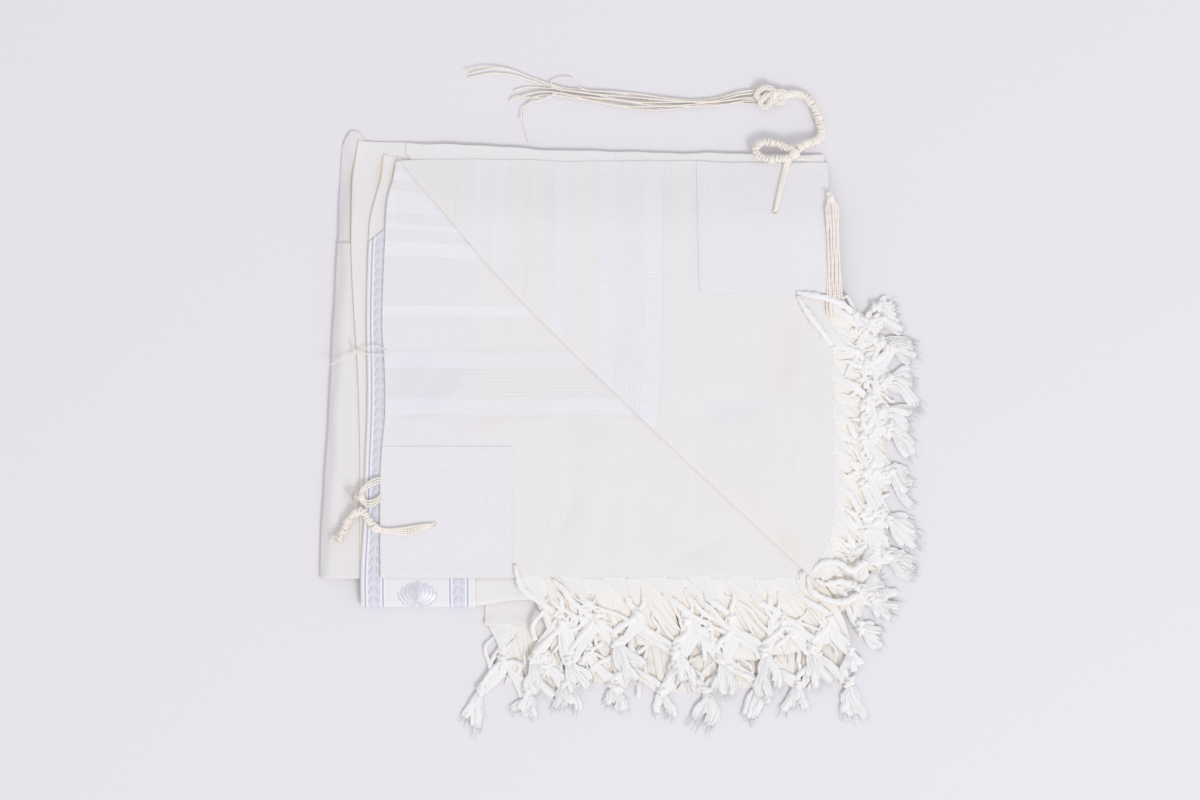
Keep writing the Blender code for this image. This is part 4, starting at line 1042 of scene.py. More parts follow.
# ---------------------------------------------------------------- fringes
# Soft two-ply cords twisted from the cloth's own yarns at each fringed end. They are knotted
# together in two rows, like a net, and below the second row they are brushed out into tufts.
# Each fringe's start, run, number of knots, length and slant
HEM_FRINGE = (HEM_LEFT + 2, HEM_RIGHT - HEM_LEFT - 4, 8, 78, 0.1)
PANEL_FRINGE = (-98, 268, 7, 92, 0.55)
CORNER_FRINGE = (91, 252, 8, 78, 0.5)  # this one starts at a y and runs down
FLOOR_STRAND = 2.4  # middle height of a cord on the floor
UPPER_STRAND = 6.6  # and of one that lies on another fringe
STRIP = 2.6  # the fringe proper starts this far from the cloth's edge
FIRST_KNOT, SECOND_KNOT = 0.38, 0.68  # where the rows of knots are, as shares of the length
CORD_RADIUS, CORD_TURN, CORD_FLATNESS = 2.9, 15, 0.62
UP = np.array((0, 0, 1))
FIBRE = 0.36
YARN = 1.25  # from one yarn to the next where they lie flat
BRUSHED_LOCKS, LOCK_FIBRES = 5, 13
TANGLED = 5  # thin loose cords to each knot
WEB_STEPS = 13
UNDER_EDGE = -0.055  # where the yarns start under the cloth's edge, as a share of the length
# The warmth of each layer is painted shade: the lower layers are painted a warmer, darker white and take more
# of the painted hollow shade.
WARMTHS_AND_SHADE = (1, 0.4, 0.3, 0)  # of the bed, the fans, the cords and the brushed ends
COOL_YARN, WARM_SHADED_YARN = (0.935, 0.932, 0.95, 1), (0.93, 0.914, 0.9, 1)
PAINTED_YARN_HOLLOW_SHADE = (0.98, 0.85, 0.7, 1)

fringe_yarn = Finish("fringe_yarn", 0.95, sheen=0.55, specular=0.1)
fringe_yarn.set(**{"Sheen Roughness": 0.8})
# painted shade: each strand runs from cool white to a warmer, darker white by its warmth, which also mixes in
# the painted hollow shade
warmth, across_yarns = fringe_yarn.kept("yarn").parts()[:2]
colour = warmth.mix(COOL_YARN, WARM_SHADED_YARN)
hollow = fringe_yarn.paint_hollow_shade(colour, 0.008, PAINTED_YARN_HOLLOW_SHADE, 0.9, 1)
fuzz = (across_yarns * (2 * math.pi / YARN)).sine() * 0.3 + fringe_yarn.noise((900, 900, 900), 3)
fringe_yarn.link("Base Color", (warmth * 0.75 + 0.25).mix(colour, hollow).times(fuzz * 0.07 + 0.95))
fringe_yarn.relief(fuzz, 0.25, 0.0006)


def skin(rings):
    """Walls and ends of closed strands; rings holds their points by strand, section and side."""
    ring = np.arange(rings[..., 0].size).reshape(rings.shape[:3])
    after = np.roll(ring, -1, -1)
    walls = np.stack((ring[:, :-1], after[:, :-1], after[:, 1:], ring[:, 1:]), -1).reshape(-1, 4)
    return rings.reshape(-1, 3), [walls, ring[:, 0, ::-1], ring[:, -1]]


def tubes(paths, radii, sides):
    """Round strands with closed ends along paths of equal count; gives points and faces."""
    paths = np.asarray(paths, float)
    radii = np.broadcast_to(radii, paths.shape[:2])
    along = unit(np.gradient(paths, axis=1))
    across = np.cross(along[:, 0], (0.31, 0.17, 1))
    angle = 2 * math.pi * np.arange(sides)[:, None] / sides
    rings = []
    for step in range(paths.shape[1]):
        heading = along[:, step]
        across = unit(across - heading * np.sum(across * heading, -1, keepdims=True))
        arm = across[:, None] * np.cos(angle) + np.cross(heading, across)[:, None] * np.sin(angle)
        rings.append(paths[:, step, None] + radii[:, step, None, None] * arm)
    return skin(np.stack(rings, 1))


def join(name, strands, material, warmths=()):
    """Make one piece of many strands, each with its own warmth of white, which is partly painted shade, if
    that is given.
    """
    faces = []
    first = 0
    for strand in strands:
        faces += [face + first for face in strand[1]]
        first += len(strand[0])
    piece = make_piece(name, np.concatenate([strand[0] for strand in strands]), faces, material, cloth=False)
    if warmths:
        yarn = []
        for strand, warmth in zip(strands, warmths):
            across = strand[2] if len(strand) > 2 else np.zeros(len(strand[0]))
            yarn.append(np.stack((warmth + 0 * across, across, 0 * across), -1))
        keep_at_points(piece.data, "yarn", np.concatenate(yarn))
    return piece


def frames(path):
    """Directions level across a path, and square to both."""
    along = unit(np.gradient(path, axis=0))
    across = unit(np.cross(along, UP))
    return across, np.cross(across, along)


def gone_along(path):
    """Length from the start of a path to each of its points."""
    return np.concatenate(((0,), np.cumsum(np.linalg.norm(np.diff(path, axis=0), axis=-1))))


def wound_round(path, spread, turn_length, phases):
    """Paths that wind round a path, one for each starting angle."""
    across, over = frames(path)
    spread = np.asarray(spread).reshape(-1, 1)
    turn = 2 * math.pi * gone_along(path)[:, None] / turn_length
    turns = (turn + at for at in phases)
    return np.stack([path + spread * (np.cos(at) * across + np.sin(at) * over) for at in turns])


def twisted(path, spread, turn_length, phases, radius, sides):
    """Strands of one radius that wind round a path."""
    return tubes(wound_round(path, spread, turn_length, phases), radius, sides)


def curve(points, count):
    """Evenly spaced points on a smooth curve through the given ones."""
    points = np.asarray(points, float)
    given = np.vstack((2 * points[0] - points[1], points, 2 * points[-1] - points[-2]))
    t = np.linspace(0, 1, 24, endpoint=False)[:, None]
    fine = []
    for before, start, end, after in zip(given[:-3], given[1:-2], given[2:-1], given[3:]):
        square, cube = 2 * before - 5 * start + 4 * end - after, 3 * start - before - 3 * end + after
        fine.append(0.5 * (2 * start + (end - before) * t + square * t ** 2 + cube * t ** 3))
    fine = np.vstack(fine + [points[-1:]])
    gone = gone_along(fine)
    at = np.linspace(0, gone[-1], count)
    return np.stack([np.interp(at, gone, fine[:, axis]) for axis in range(3)], -1)


def sweep(path, across_offset, over_offset):
    """A closed strand round a path; the offsets give its section at each of the path's points."""
    across, over = frames(path)
    aside = across_offset[..., None] * across[:, None]
    rings = path[:, None] + aside + over_offset[..., None] * over[:, None]
    return skin(rings[None, :, ::-1])


def two_ply_cord(path, chance, radius=CORD_RADIUS, start=1):
    """A soft cord of two plies twisted together, uneven in thickness, thinner where it starts."""
    angle = 2 * math.pi * np.arange(10)[None] / 10
    gone = gone_along(path)[:, None]
    turn = 2 * math.pi * gone / (CORD_TURN * chance.uniform(0.8, 1.3)) + chance.uniform(0, 6)
    uneven = 1 + 0.1 * np.sin(gone / 5.3 + turn[0]) + 0.06 * np.sin(gone / 2.1)
    uneven = uneven * (start + (1 - start) * ease(gone / 16))
    size = radius * uneven * (1 + 0.17 * np.cos(2 * (angle - turn)) + 0.04 * np.cos(7 * angle + turn))
    return sweep(path, size * np.cos(angle), CORD_FLATNESS * size * np.sin(angle))


def yarn_section(widths, heights, yarns, depth):
    """Offsets across and over a flat lock of parallel yarns, four to each yarn and three below."""
    below = math.pi * np.array((1.25, 1.5, 1.75))
    turn = np.concatenate((np.arccos(np.linspace(1, -1, 4 * yarns + 1)), below))
    ridge = np.minimum(depth * np.minimum(heights, 2), (depth - 0.02) * widths / yarns)[:, None]
    over = (heights[:, None] / 2 + ridge * np.cos(np.cos(turn) * math.pi * yarns)) * np.sin(turn)
    return np.cos(turn), widths[:, None] / 2 * np.cos(turn), over


def flat_lock(path, widths, heights, yarns):
    """A flat lock of parallel yarns, of a given width and height at each point of its path."""
    side, across, over = yarn_section(widths, heights, yarns, 0.11)
    points, faces = sweep(path, across, over)
    return points, faces, (widths.max() / 2 * side + 0 * across)[:, ::-1].ravel()


def cord_knot(centre, heading, chance, size=1):
    """A soft overhand knot: a turn or two round the cords, and one strap over them."""
    heading = unit(np.array((heading[0], heading[1], 0.05)))
    turns = chance.uniform(1.1, 1.9)
    share = np.linspace(-0.5, 0.5, 24)[:, None]
    swell = (2.2 + 1 * np.cos(share * math.pi)) * size
    path = centre + heading * share * 7 * size
    wraps = twisted(path, swell, 7 * size / turns, (chance.uniform(0, 6),), 2 * size, 7)
    side = chance.choice((-1, 1))
    share = np.linspace(-0.5, 0.5, 10)[:, None]
    aside = np.cross(heading, UP) * side * share * chance.uniform(3, 10) * size
    strap = centre + heading * share * 10 * size + aside + UP * (4 * np.cos(share * 2.6) - 1.4) * size
    core = centre + heading * np.linspace(-0.5, 0.5, 7)[:, None] * 9.5 * size
    core_radius = 2.5 * size * np.sqrt(1 - np.linspace(-0.95, 0.95, 7) ** 2) + 0.4
    return [wraps, tubes(strap[None], 2 * size, 7), tubes(core[None], core_radius, 8)]


def brushed_lock(path, chance, start=2, flare=5):
    """A brushed-out lock: a soft body that widens, with loose fibres on it and past its ragged end."""
    share = np.linspace(0, 1, len(path))
    across, over = frames(path)
    body = start + (flare - start) * share ** 1.2
    angle = chance.uniform(0, 2 * math.pi, (LOCK_FIBRES, 1, 1))
    away = chance.uniform(0.9, 1.02, (LOCK_FIBRES, 1, 1))
    stretch = chance.uniform(0.9, 1.35, (LOCK_FIBRES, 1))
    at = np.clip(share[None] * stretch, 0, 1) * (len(path) - 1)
    index = np.minimum(at.astype(int), len(path) - 2)
    part = (at - index)[..., None]
    middle = path[index] * (1 - part) + path[index + 1] * part
    beyond = np.clip(share[None] * stretch - 1, 0, 1)[..., None] * (path[-1] - path[-2]) * (len(path) - 1)
    curl = chance.normal(0, 0.8, (LOCK_FIBRES, 1, 3)) * (share ** 3)[None, :, None]
    offset = away * body[None, :, None] * (np.cos(angle) * across[None] + 0.26 * np.sin(angle) * over[None])
    hairs = middle + beyond + offset + curl
    hairs[..., 2] = np.maximum(hairs[..., 2], 0.5)
    close = np.sqrt(np.clip(1 - np.clip((share - 0.6) / 0.46, 0, 1) ** 2, 0, 1))
    solid = flat_lock(path, 2 * body * (0.35 + 0.62 * close), 0.5 * body * (0.12 + 0.8 * close), 5)
    return [tubes(hairs, FIBRE * (1 - 0.45 * share), 3), solid]


def fringe(run, knots, length, slant, edge, height, seed, side_first=1):
    """Make one knotted fringe; edge(along, out) gives x and y and height(along, out) gives z."""
    chance = np.random.default_rng(seed)
    pitch = run / knots
    bed, fans, cords, brushed = [], [], [], []

    def place(along, reach, lift):
        out = STRIP + length * reach * (1 + 0.09 * np.sin(along / 29 + 1.3))
        along = along + np.clip(reach, 0, 2) * 5 * np.sin(out / 17 + along / 45)
        x, y = edge(along, out)
        return np.stack((x, y, height(along, out) + lift), -1)

    def drawn(start, end, bulge, arch, count, low_end=0, wander=2.8):
        share = np.linspace(0, 1, count)
        along = start[0] + (end[0] - start[0]) * ease(share) + bulge * np.sin(math.pi * share)
        sway = chance.uniform(-1, 1) * wander * np.sin(2 * math.pi * share + chance.uniform(-0.6, 0.6))
        along = along + sway * np.sin(math.pi * share)
        reach = start[1] + (end[1] - start[1]) * share
        return place(along, reach, arch * np.sin(math.pi * share) + low_end * share)

    def web(start, end, bulge, widths, heights, lift, yarns):
        """Parallel yarns between two places, level with the edge where they start."""
        share = np.linspace(0, 1, WEB_STEPS)[:, None]
        side, across, over = (part[..., ::-side_first] for part in yarn_section(widths, heights, yarns, 0.12))
        along = start[0] + (end[0] - start[0]) * ease(share) + bulge * np.sin(math.pi * share) + across
        reach = start[1] + (end[1] - start[1]) * share + 0 * along
        points, faces = skin(place(along, reach, lift * ease(share * 2) + over)[None, :, ::-1])
        return points, faces, (widths[0] / 2 * side + 0 * share)[:, ::-1].ravel()

    def row_of_knots(count, at, stray, offset, wander, drift):
        row = []
        for knot in range(count):
            reach = at + chance.uniform(-stray, stray)
            middle = (knot + offset + chance.uniform(-wander, wander)) * pitch
            row.append((middle + drift * slant * reach * length, reach, chance.uniform(0, 0.8)))
        return row

    first_knots = row_of_knots(knots, FIRST_KNOT, 0.06, 0.35, 0.1, 1)
    second_knots = row_of_knots(knots + 1, SECOND_KNOT, 0.07, 0, 0.16, 0.2)
    share = np.linspace(0, 1, WEB_STEPS)
    for lock in range(1, 2 * knots):
        root = (lock + 0.5 + chance.uniform(-0.08, 0.08)) * pitch / 2
        end = (root + chance.normal(0, 2.5) + slant * 9, chance.uniform(0.6, 0.72))
        wide = pitch * 0.78 * (1 - 0.3 * ease(share * 1.1 - 0.1))
        high = 0.2 + 1.2 * ease(share / 0.3)
        bed.append(web((root, UNDER_EDGE), end, chance.uniform(-3, 3), wide, high, -2, 8))
    for lock in range(1, 3 * knots):
        root = (lock + 0.5 + chance.uniform(-0.25, 0.25)) * pitch / 3
        end = (root + chance.normal(slant * 14, 7), chance.uniform(0.45, 0.7))
        wide = pitch * 0.3 * (1 - 0.45 * ease(share * 1.3))
        high = 0.2 + 1.8 * ease(share / 0.3)
        bed.append(web((root, UNDER_EDGE), end, chance.uniform(-6, 6), wide, high, -0.9, 7))
    for strand in range(TANGLED * knots):
        start = (chance.uniform(4, run - 8), chance.uniform(0.06, 0.34))
        end_along = np.clip(start[0] + chance.normal(slant * 20, 20), 6, run)
        end = (end_along, start[1] + chance.uniform(0.28, 0.5))
        path = drawn(start, end, chance.uniform(-9, 9), chance.uniform(-0.5, 1.6), 16, 0, 5)
        fans.append(two_ply_cord(path, chance, chance.uniform(1.3, 2.3), 0.3))
    for knot, (middle, reach, lift) in enumerate(first_knots):
        root = (knot + 0.3) * pitch
        turned = slant * 0.12 * length
        wide = pitch * chance.uniform(0.5, 0.68)
        narrow = ease(share * 1.2) ** 0.7
        end = (root + 1.9 * turned, 0.27)
        fans.append(web((root, -0.06), end, 0, wide + (5 - wide) * narrow, 0.35 + 3.6 * narrow, 0.6, 7))
        path = drawn((root + 0.6 * turned, 0.08), (middle, reach), chance.uniform(-3, 3), 1.2, 26, lift)
        cords.append(two_ply_cord(path, chance, CORD_RADIUS * chance.uniform(0.95, 1.15), 0.25))
        if chance.uniform() < 0.7:
            start = (root + pitch * chance.uniform(0.45, 0.6), 0.02)
            path = drawn(start, (middle, reach), chance.uniform(-2, 6), 1, 26, lift)
            cords.append(two_ply_cord(path, chance, CORD_RADIUS * 0.75, 0.2))
        for side in (0, 1):
            other = second_knots[knot + side]
            lean = 2 * side - 1
            bulge, arch = lean * chance.uniform(-3, 6), chance.uniform(0.2, 1.5)
            path = drawn((middle, reach), other[:2], bulge, arch, 22, other[2])
            cords.append(two_ply_cord(path, chance, CORD_RADIUS * chance.uniform(0.8, 1.05)))
            wide = 4 + chance.uniform(7, 13) * np.sin(math.pi * share) ** 0.8
            start = (middle + lean * 2, reach - 0.08)
            end = (other[0] - lean * chance.uniform(0, 5), other[1] + 0.05)
            bulge, lifted = lean * chance.uniform(-9, 3), chance.uniform(-0.6, 0.8)
            fans.append(web(start, end, bulge, wide, 2.4 - 1 * share, lifted, 5))
        if chance.uniform() < 0.6:
            turn = np.linspace(0, 2 * math.pi * chance.uniform(0.7, 0.95), 24) + chance.uniform(0, 6)
            round_size = chance.uniform(5.5, 9)
            along = middle + chance.normal(0, 7) + round_size * np.cos(turn)
            out = reach + chance.uniform(-0.04, 0.16) + 0.7 * round_size * np.sin(turn) / length
            lift_up = 2 * np.sin(math.pi * np.linspace(0, 1, 24))
            cords.append(two_ply_cord(place(along, out, lift_up), chance, CORD_RADIUS * 0.78, 0.5))
    for row in (first_knots, second_knots):
        for middle, reach, lift in row:
            ends = place(np.full(2, middle), np.array((reach - 0.03, reach + 0.03)), lift + 0.4)
            heading = ends[1] - ends[0] + chance.normal(0, 2, 3)
            cords += cord_knot(ends.mean(0), heading, chance, chance.uniform(0.85, 1.15))
    for middle, reach, lift in second_knots:
        for lock in range(BRUSHED_LOCKS):
            aside = (lock - (BRUSHED_LOCKS - 1) / 2) * chance.uniform(3.4, 5.4)
            end = (middle + aside + chance.normal(0, 2), 0.99 + chance.uniform(-0.1, 0.07))
            path = drawn((middle + aside * 0.2, reach + 0.02), end, chance.normal(0, 2), 0.8 * (lock % 2), 7)
            path[..., 2] -= np.linspace(0, 1, 7) * chance.uniform(0.3, 1)
            brushed += brushed_lock(path, chance)
    return bed, fans, cords, brushed


def panel_edge(along, out):
    """The end panel's fringe slants to the right, more so further along."""
    start, run = PANEL_FRINGE[:2]
    return start + along + out * (0.16 + 0.27 * ease(along / run) ** 2), PANEL_BOTTOM - out


def panel_height(along, out):
    """It falls over the turned ply onto the fringe below."""
    x = PANEL_FRINGE[0] + along
    high = ply_height(x, PANEL_BOTTOM + 0 * x, PANEL) + panel_lift(x, PANEL_BOTTOM + 0 * x)
    high = high + 0.5 + 0.22 * ease((out + 2.6) / 3)
    return high + (UPPER_STRAND - high) * ease((out - 18) / 30)


def hem_edge(along, out):
    """The lowest fringe fans out a little on the floor."""
    start, run = HEM_FRINGE[:2]
    return start + along + out * (-0.12 + 0.3 * along / run), HEM_LINE - out


def hem_height(along, out):
    """It lies on the floor."""
    return 1.2 + (FLOOR_STRAND - 1.2) * ease(out / 14)


def corner_edge(along, out):
    """The turned corner's fringe runs down its right side, and turns down towards the tip."""
    y = CORNER_FRINGE[0] - along
    angle = -np.radians(3 + 16 * (1 - ease(along / 50)) + 42 * ease(along / CORNER_FRINGE[1]))
    out = out * (0.68 + 0.32 * ease((along + 10) / 80))
    return flap_right(y) + out * np.cos(angle), y + out * np.sin(angle)


def corner_height(along, out):
    """It falls from the top of the pile to the floor."""
    y = CORNER_FRINGE[0] - along
    high = ply_height(flap_right(y), y, FLAP) + flap_lift(flap_right(y), y)
    high = high + 0.65 + 0.22 * ease((out + 2) / 3)
    return high + (FLOOR_STRAND - high) * ease((out - 2) / 34)


def loose_cords(paths, chance):
    """The corner cords of a fringe, which start on top of the cloth and run their own way."""
    cords, brushed = [], []
    for points in paths:
        path = curve(points, 8 * len(points))
        cords.append(two_ply_cord(path, chance, CORD_RADIUS, 0.5))
        onwards = unit(path[-1] - path[-6])
        cords += cord_knot(path[-1], onwards, chance, 0.9)
        for side in (-1, 0.1, 1):
            aside = np.cross(onwards, UP) * side
            reach = np.linspace(0, 1, 7)[:, None]
            lock = path[-1] + onwards * 22 * reach + aside * 7 * reach ** 1.5
            lock[:, 2] = path[-1][2] + (2.6 - path[-1][2]) * ease(reach[:, 0])
            brushed += brushed_lock(lock, chance)
    return [], [], cords, brushed


chance = np.random.default_rng(71)
panel_cords = loose_cords((
    ((-98, -153, 14), (-95.5, -163, 14.6), (-91, -174, 14), (-79, -184, 13), (-60, -196.5, 10.4)),
    ((-64, -166, 14.4), (-54, -175, 14.2), (-46, -186, 12.8), (-24, -203, 10)),
), chance)
corner_cords = loose_cords((
    ((154, 91, 15.6), (166, 88.6, 16), (180, 86, 14.6), (196, 80, 10.6), (207, 71, 7)),
    ((155, 88, 15.4), (160, 79, 15.8), (169, 66, 15.4), (177, 56, 14), (188, 40, 10)),
    ((168, -160, 14.2), (176, -152, 16), (190, -150.5, 15), (204, -158, 12), (213, -152, 9)),
    ((164, -163, 13.6), (168, -176, 13.8), (182, -184, 12.4), (198, -186, 10), (212, -178, 8)),
    ((171, -166, 14.6), (180, -170, 15), (194, -168, 13), (207, -172, 10)),
), chance)


for lock, direction in enumerate(np.radians((8, -6, -19, -32, -45, -58, -72))):
    out = np.linspace(0, 1, 12)[:, None]
    heading = np.array((math.cos(direction), math.sin(direction), 0))
    path = np.array((160, -158, 12.6)) + heading * 52 * out
    path[:, 2] += (3.4 + 0.5 * (lock % 2) - 12.6) * ease(out[:, 0] * 1.1)
    corner_cords[0].append(flat_lock(path, 9 + 9 * out[:, 0], 1 + 0.6 * out[:, 0], 7))


def inner_corner_edge(along, out):
    """The inner corner's fringe starts a little further in, under the outer one."""
    x, y = corner_edge(along, out)
    return x - 4 + 0.05 * out, y - 3


def inner_corner_height(along, out):
    """It lies close to the floor, below the outer corner's fringe."""
    high = corner_height(along, out) - 2.6
    return np.maximum(high + (FLOOR_STRAND - high) * ease(out / 20), FLOOR_STRAND)


for name, node, sizes, edge, height, seed, side_first, extra in (
    ("lowest_hem_fringe", "fringe_lower", HEM_FRINGE, hem_edge, hem_height, 11, 1, ()),
    ("end_panel_fringe", "fringe_panel", PANEL_FRINGE, panel_edge, panel_height, 23, 1, panel_cords),
    ("turned_corner_fringe", "fringe_flap", CORNER_FRINGE, corner_edge, corner_height, 37, -1, corner_cords),
    ("inner_corner_fringe", None, CORNER_FRINGE, inner_corner_edge, inner_corner_height, 53, -1, ()),
):
    groups = fringe(*sizes[1:], edge, height, seed, side_first)
    for group, more in zip(groups, extra):
        group += more
    strands = sum(groups, [])
    warmths = [warmth for group, warmth in zip(groups, WARMTHS_AND_SHADE) for _ in group]
    piece = join(name, strands, fringe_yarn.material, warmths)
    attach(piece, "root")
    if node:
        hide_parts(node)

# ---------------------------------------------------------------- eyelets
# A round hole in each corner patch, worked round with close stitches of white thread. The
# strings of the corner's tassel go through it.
UPPER_EYELET = (135, 163)
LOWER_EYELET = (-170.6, -116.6)
EYELET_RING, EYELET_STITCH, EYELET_STITCHES = 2.1, 0.8, 34
EYELET_WHITE, EYELET_HOLE_SHADE = (0.85, 0.82, 0.79, 1), (0.4, 0.34, 0.29, 1)

eyelet_thread = Finish("eyelet_thread", 0.7)
eyelet_thread.set(**{"Base Color": EYELET_WHITE})
# the hole is a dark disc of painted shade, not a cut
hole_shadow = Finish("eyelet_hole_painted_shade", 0.95, specular=0)
hole_shadow.set(**{"Base Color": EYELET_HOLE_SHADE})


def height_at(x, y, ply):
    """Height of the lower face of a ply at one place."""
    return float(ply_height(np.array(x), np.array(y), ply))


def worked_eyelet(name, x, y, ply, lift):
    """Stitches laid round a hole, over a dark disc of painted shade that stands for the hole's depth."""
    z = height_at(x, y, ply) + lift
    round_hole = np.linspace(0, 2 * math.pi, 320)
    turn = round_hole * EYELET_STITCHES
    away = EYELET_RING + EYELET_STITCH * np.cos(turn)
    height = z + 0.15 + 0.35 * np.maximum(np.sin(turn), -0.2)
    stitches = np.stack((x + away * np.cos(round_hole), y + away * np.sin(round_hole), height), -1)
    ring = join(name + "_stitches", [tubes(stitches[None], 0.24, 5)], eyelet_thread.material)
    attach(ring, "root")
    # painted shade: a dark plug where the hole is
    depth = np.linspace(0, 1, 5)
    plug = np.stack((x + 0 * depth, y + 0 * depth, z - 0.3 + 0.42 * depth), -1)
    hole = join(name + "_hole", [tubes(plug[None], 1.4, 20)], hole_shadow.material)
    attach(hole, "root")


worked_eyelet("upper_eyelet", *UPPER_EYELET, FLAP, 1.35)
worked_eyelet("lower_eyelet", *LOWER_EYELET, PANEL, 1.2)

# ---------------------------------------------------------------- tzitzit
# The ritual tassels: cream wool strings drawn through a corner's eyelet, doubled, wound round
# with one long string, held by double knots, and left loose below.
STRING = 0.86  # radius of one string
WINDING, WINDING_PITCH = 1.2, 2.7  # radius of the winding string and its pitch
TASSEL_CREAM, TASSEL_SHADE = (0.99, 0.942, 0.89, 1), (0.985, 0.91, 0.84, 1)
PAINTED_TASSEL_HOLLOW_SHADE = (0.92, 0.74, 0.6, 1)

tassel_wool = Finish("tassel_wool", 0.9, sheen=0.6, specular=0.15)
tassel_wool.set(**{"Sheen Roughness": 0.8})
colour = tassel_wool.noise((160, 160, 160)).mix(TASSEL_CREAM, TASSEL_SHADE)
# painted warm shade where the strings lie close together
colour = tassel_wool.paint_hollow_shade(colour, 0.003, PAINTED_TASSEL_HOLLOW_SHADE, 1.9, 0.85)
fuzz = tassel_wool.noise((1100, 1100, 1100), 3)
tassel_wool.link("Base Color", colour.times(fuzz * 0.12 + 0.93))
tassel_wool.relief(fuzz, 0.5, 0.0006)


def string(path, radius=STRING):
    """One tassel string, twisted from two plies."""
    return twisted(path, radius * 0.5, 5.5, (0, math.pi), radius * 0.62, 6)


def wound_cord(points, core, chance, pitch=WINDING_PITCH, winding=WINDING):
    """Core strings with one long string wound round them, a little loosely."""
    points = np.asarray(points, float)
    length = gone_along(points)[-1] * 1.04
    count = int(length / pitch * 11)
    path = curve(points, count)
    wave = np.linspace(0, length, count)
    spread = core + 0.22 * np.sin(wave / 3.1) + 0.16 * np.sin(wave / 1.9 + 1) + chance.normal(0, 0.03, count)
    wraps = wound_round(path, spread, pitch, (chance.uniform(0, 6),))
    for axis in range(3):
        wraps[0, :, axis] += 0.42 * np.sin(wave / chance.uniform(1.3, 2.4) + chance.uniform(0, 6))
    back = twisted(path, spread * 0.98, -pitch * 2.1, (chance.uniform(0, 6),), winding * 0.95, 6)
    inside = twisted(curve(points, 60), core * 0.55, 30, (0, 1.6, 3.1, 4.7), core * 0.5, 6)
    return [tubes(wraps, winding, 6), back, inside]


def double_knot(centre, heading, radius, chance):
    """A lumpy knot: turns of several strings in two directions round a soft middle."""
    heading, centre = unit(np.array(heading, float)), np.array(centre, float)
    slant = heading + 0.9 * unit(np.cross(heading, UP))
    strands = []
    for direction, turns, span, size in ((heading, 3, 1.3, 1), (slant, 2.2, 1, 0.92)):
        share = np.linspace(-0.5, 0.5, 50)[:, None]
        axis = centre + unit(direction) * share * span * radius
        spread = (radius - 1) * size * np.cos(share * 1.9)
        strands.append(twisted(axis, spread, span * radius / turns, (chance.uniform(0, 6),), 1, 7))
    core = centre + heading * np.linspace(-0.5, 0.5, 9)[:, None] * radius * 1.7
    swell = (radius - 1.3) * np.sqrt(1 - np.linspace(-0.97, 0.97, 9) ** 2) + 0.3
    return strands + [tubes(core[None], swell, 10)]


def fuzzy_hairs(points, count, reach, chance):
    """Short loose hairs that stand off a wound cord."""
    start = curve(points, 60)[chance.integers(0, 60, count)]
    away = unit(chance.normal(0, 1, (count, 3)))
    away[:, 2] = np.abs(away[:, 2])
    share = np.linspace(0, 1, 4)[None, :, None]
    bend = chance.normal(0, 0.8, (count, 1, 3)) * share ** 2
    length = reach * chance.uniform(0.8, 1.35, (count, 1, 1))
    return [tubes(start[:, None] + away[:, None] * length * share + bend, 0.16, 3)]


def on_ply(x, y, ply, radius):
    """A point where a string of this radius lies on top of a ply."""
    return x, y, height_at(x, y, ply) + 1 + GAP + radius


chance = np.random.default_rng(5)
on_floor = 5
upper_wound = (
    (155, 219, 13), (160, 223, 10.4), (168, 226, 7.6), (175, 229, 5.6), (177.4, 236, on_floor),
    (175, 246.6, on_floor), (171.4, 256, on_floor), (166, 264, on_floor), (160, 268.2, on_floor),
)
upper_plain = (
    (161.5, 267.6, on_floor), (154, 269.8, on_floor), (146.5, 268.8, on_floor), (139, 266, on_floor),
)
upper_loop = (
    (152, 218, 13.6), (144, 221.6, 12), (134, 225, 10), (124.6, 225.4, 9), (118.4, 220.8, 9.6),
    (120.2, 213.8, 11.6), (128, 210.4, 13.2), (138, 210, 14), (149, 211.6, 14.4),
)
upper = wound_cord(upper_wound, 2.8, chance)
upper.append(twisted(curve(upper_plain, 60), 2.3, 34, np.arange(7) * 0.9, 1.25, 7))
upper += wound_cord(upper_loop, 2.3, chance, 2.9, 1.15)
upper += double_knot((152.6, 215, 14.2), (0.5, 1, 0), 5.4, chance)
for overhand, phases in (
    (((118, 266, 5), (121, 272, 7), (128, 275, 8.4), (134.4, 271, 9), (131.6, 263, 8.6),
      (128, 257.8, 6.6), (122, 260.4, 5.6), (126, 266.6, 8), (133, 269.4, 7.4), (140, 270, 5.6)), 0),
    (((146, 267, 4.8), (143, 271, 6.4), (137, 270.4, 8.2), (134, 265.4, 7.8), (138, 261.6, 6.4),
      (143.4, 263.2, 5.6), (140.6, 267, 7.4), (133, 265.6, 6.4)), 2),
):
    upper.append(twisted(curve(overhand, 44), 1.7, 30, phases + np.arange(5) * 1.26, 0.95, 6))
upper.append(tubes(curve(((119, 265.6, 4), (131, 265.6, 4.6), (143, 266.4, 4.4)), 20)[None], 3.2, 9))
upper += fuzzy_hairs(upper_wound, 150, 5, chance) + fuzzy_hairs(upper_loop, 90, 4.6, chance)
short_end = curve(((155, 210, 14.4), (162, 210.4, 13.6), (168, 209, 13.2)), 16)
upper.append(string(short_end, 1.3))
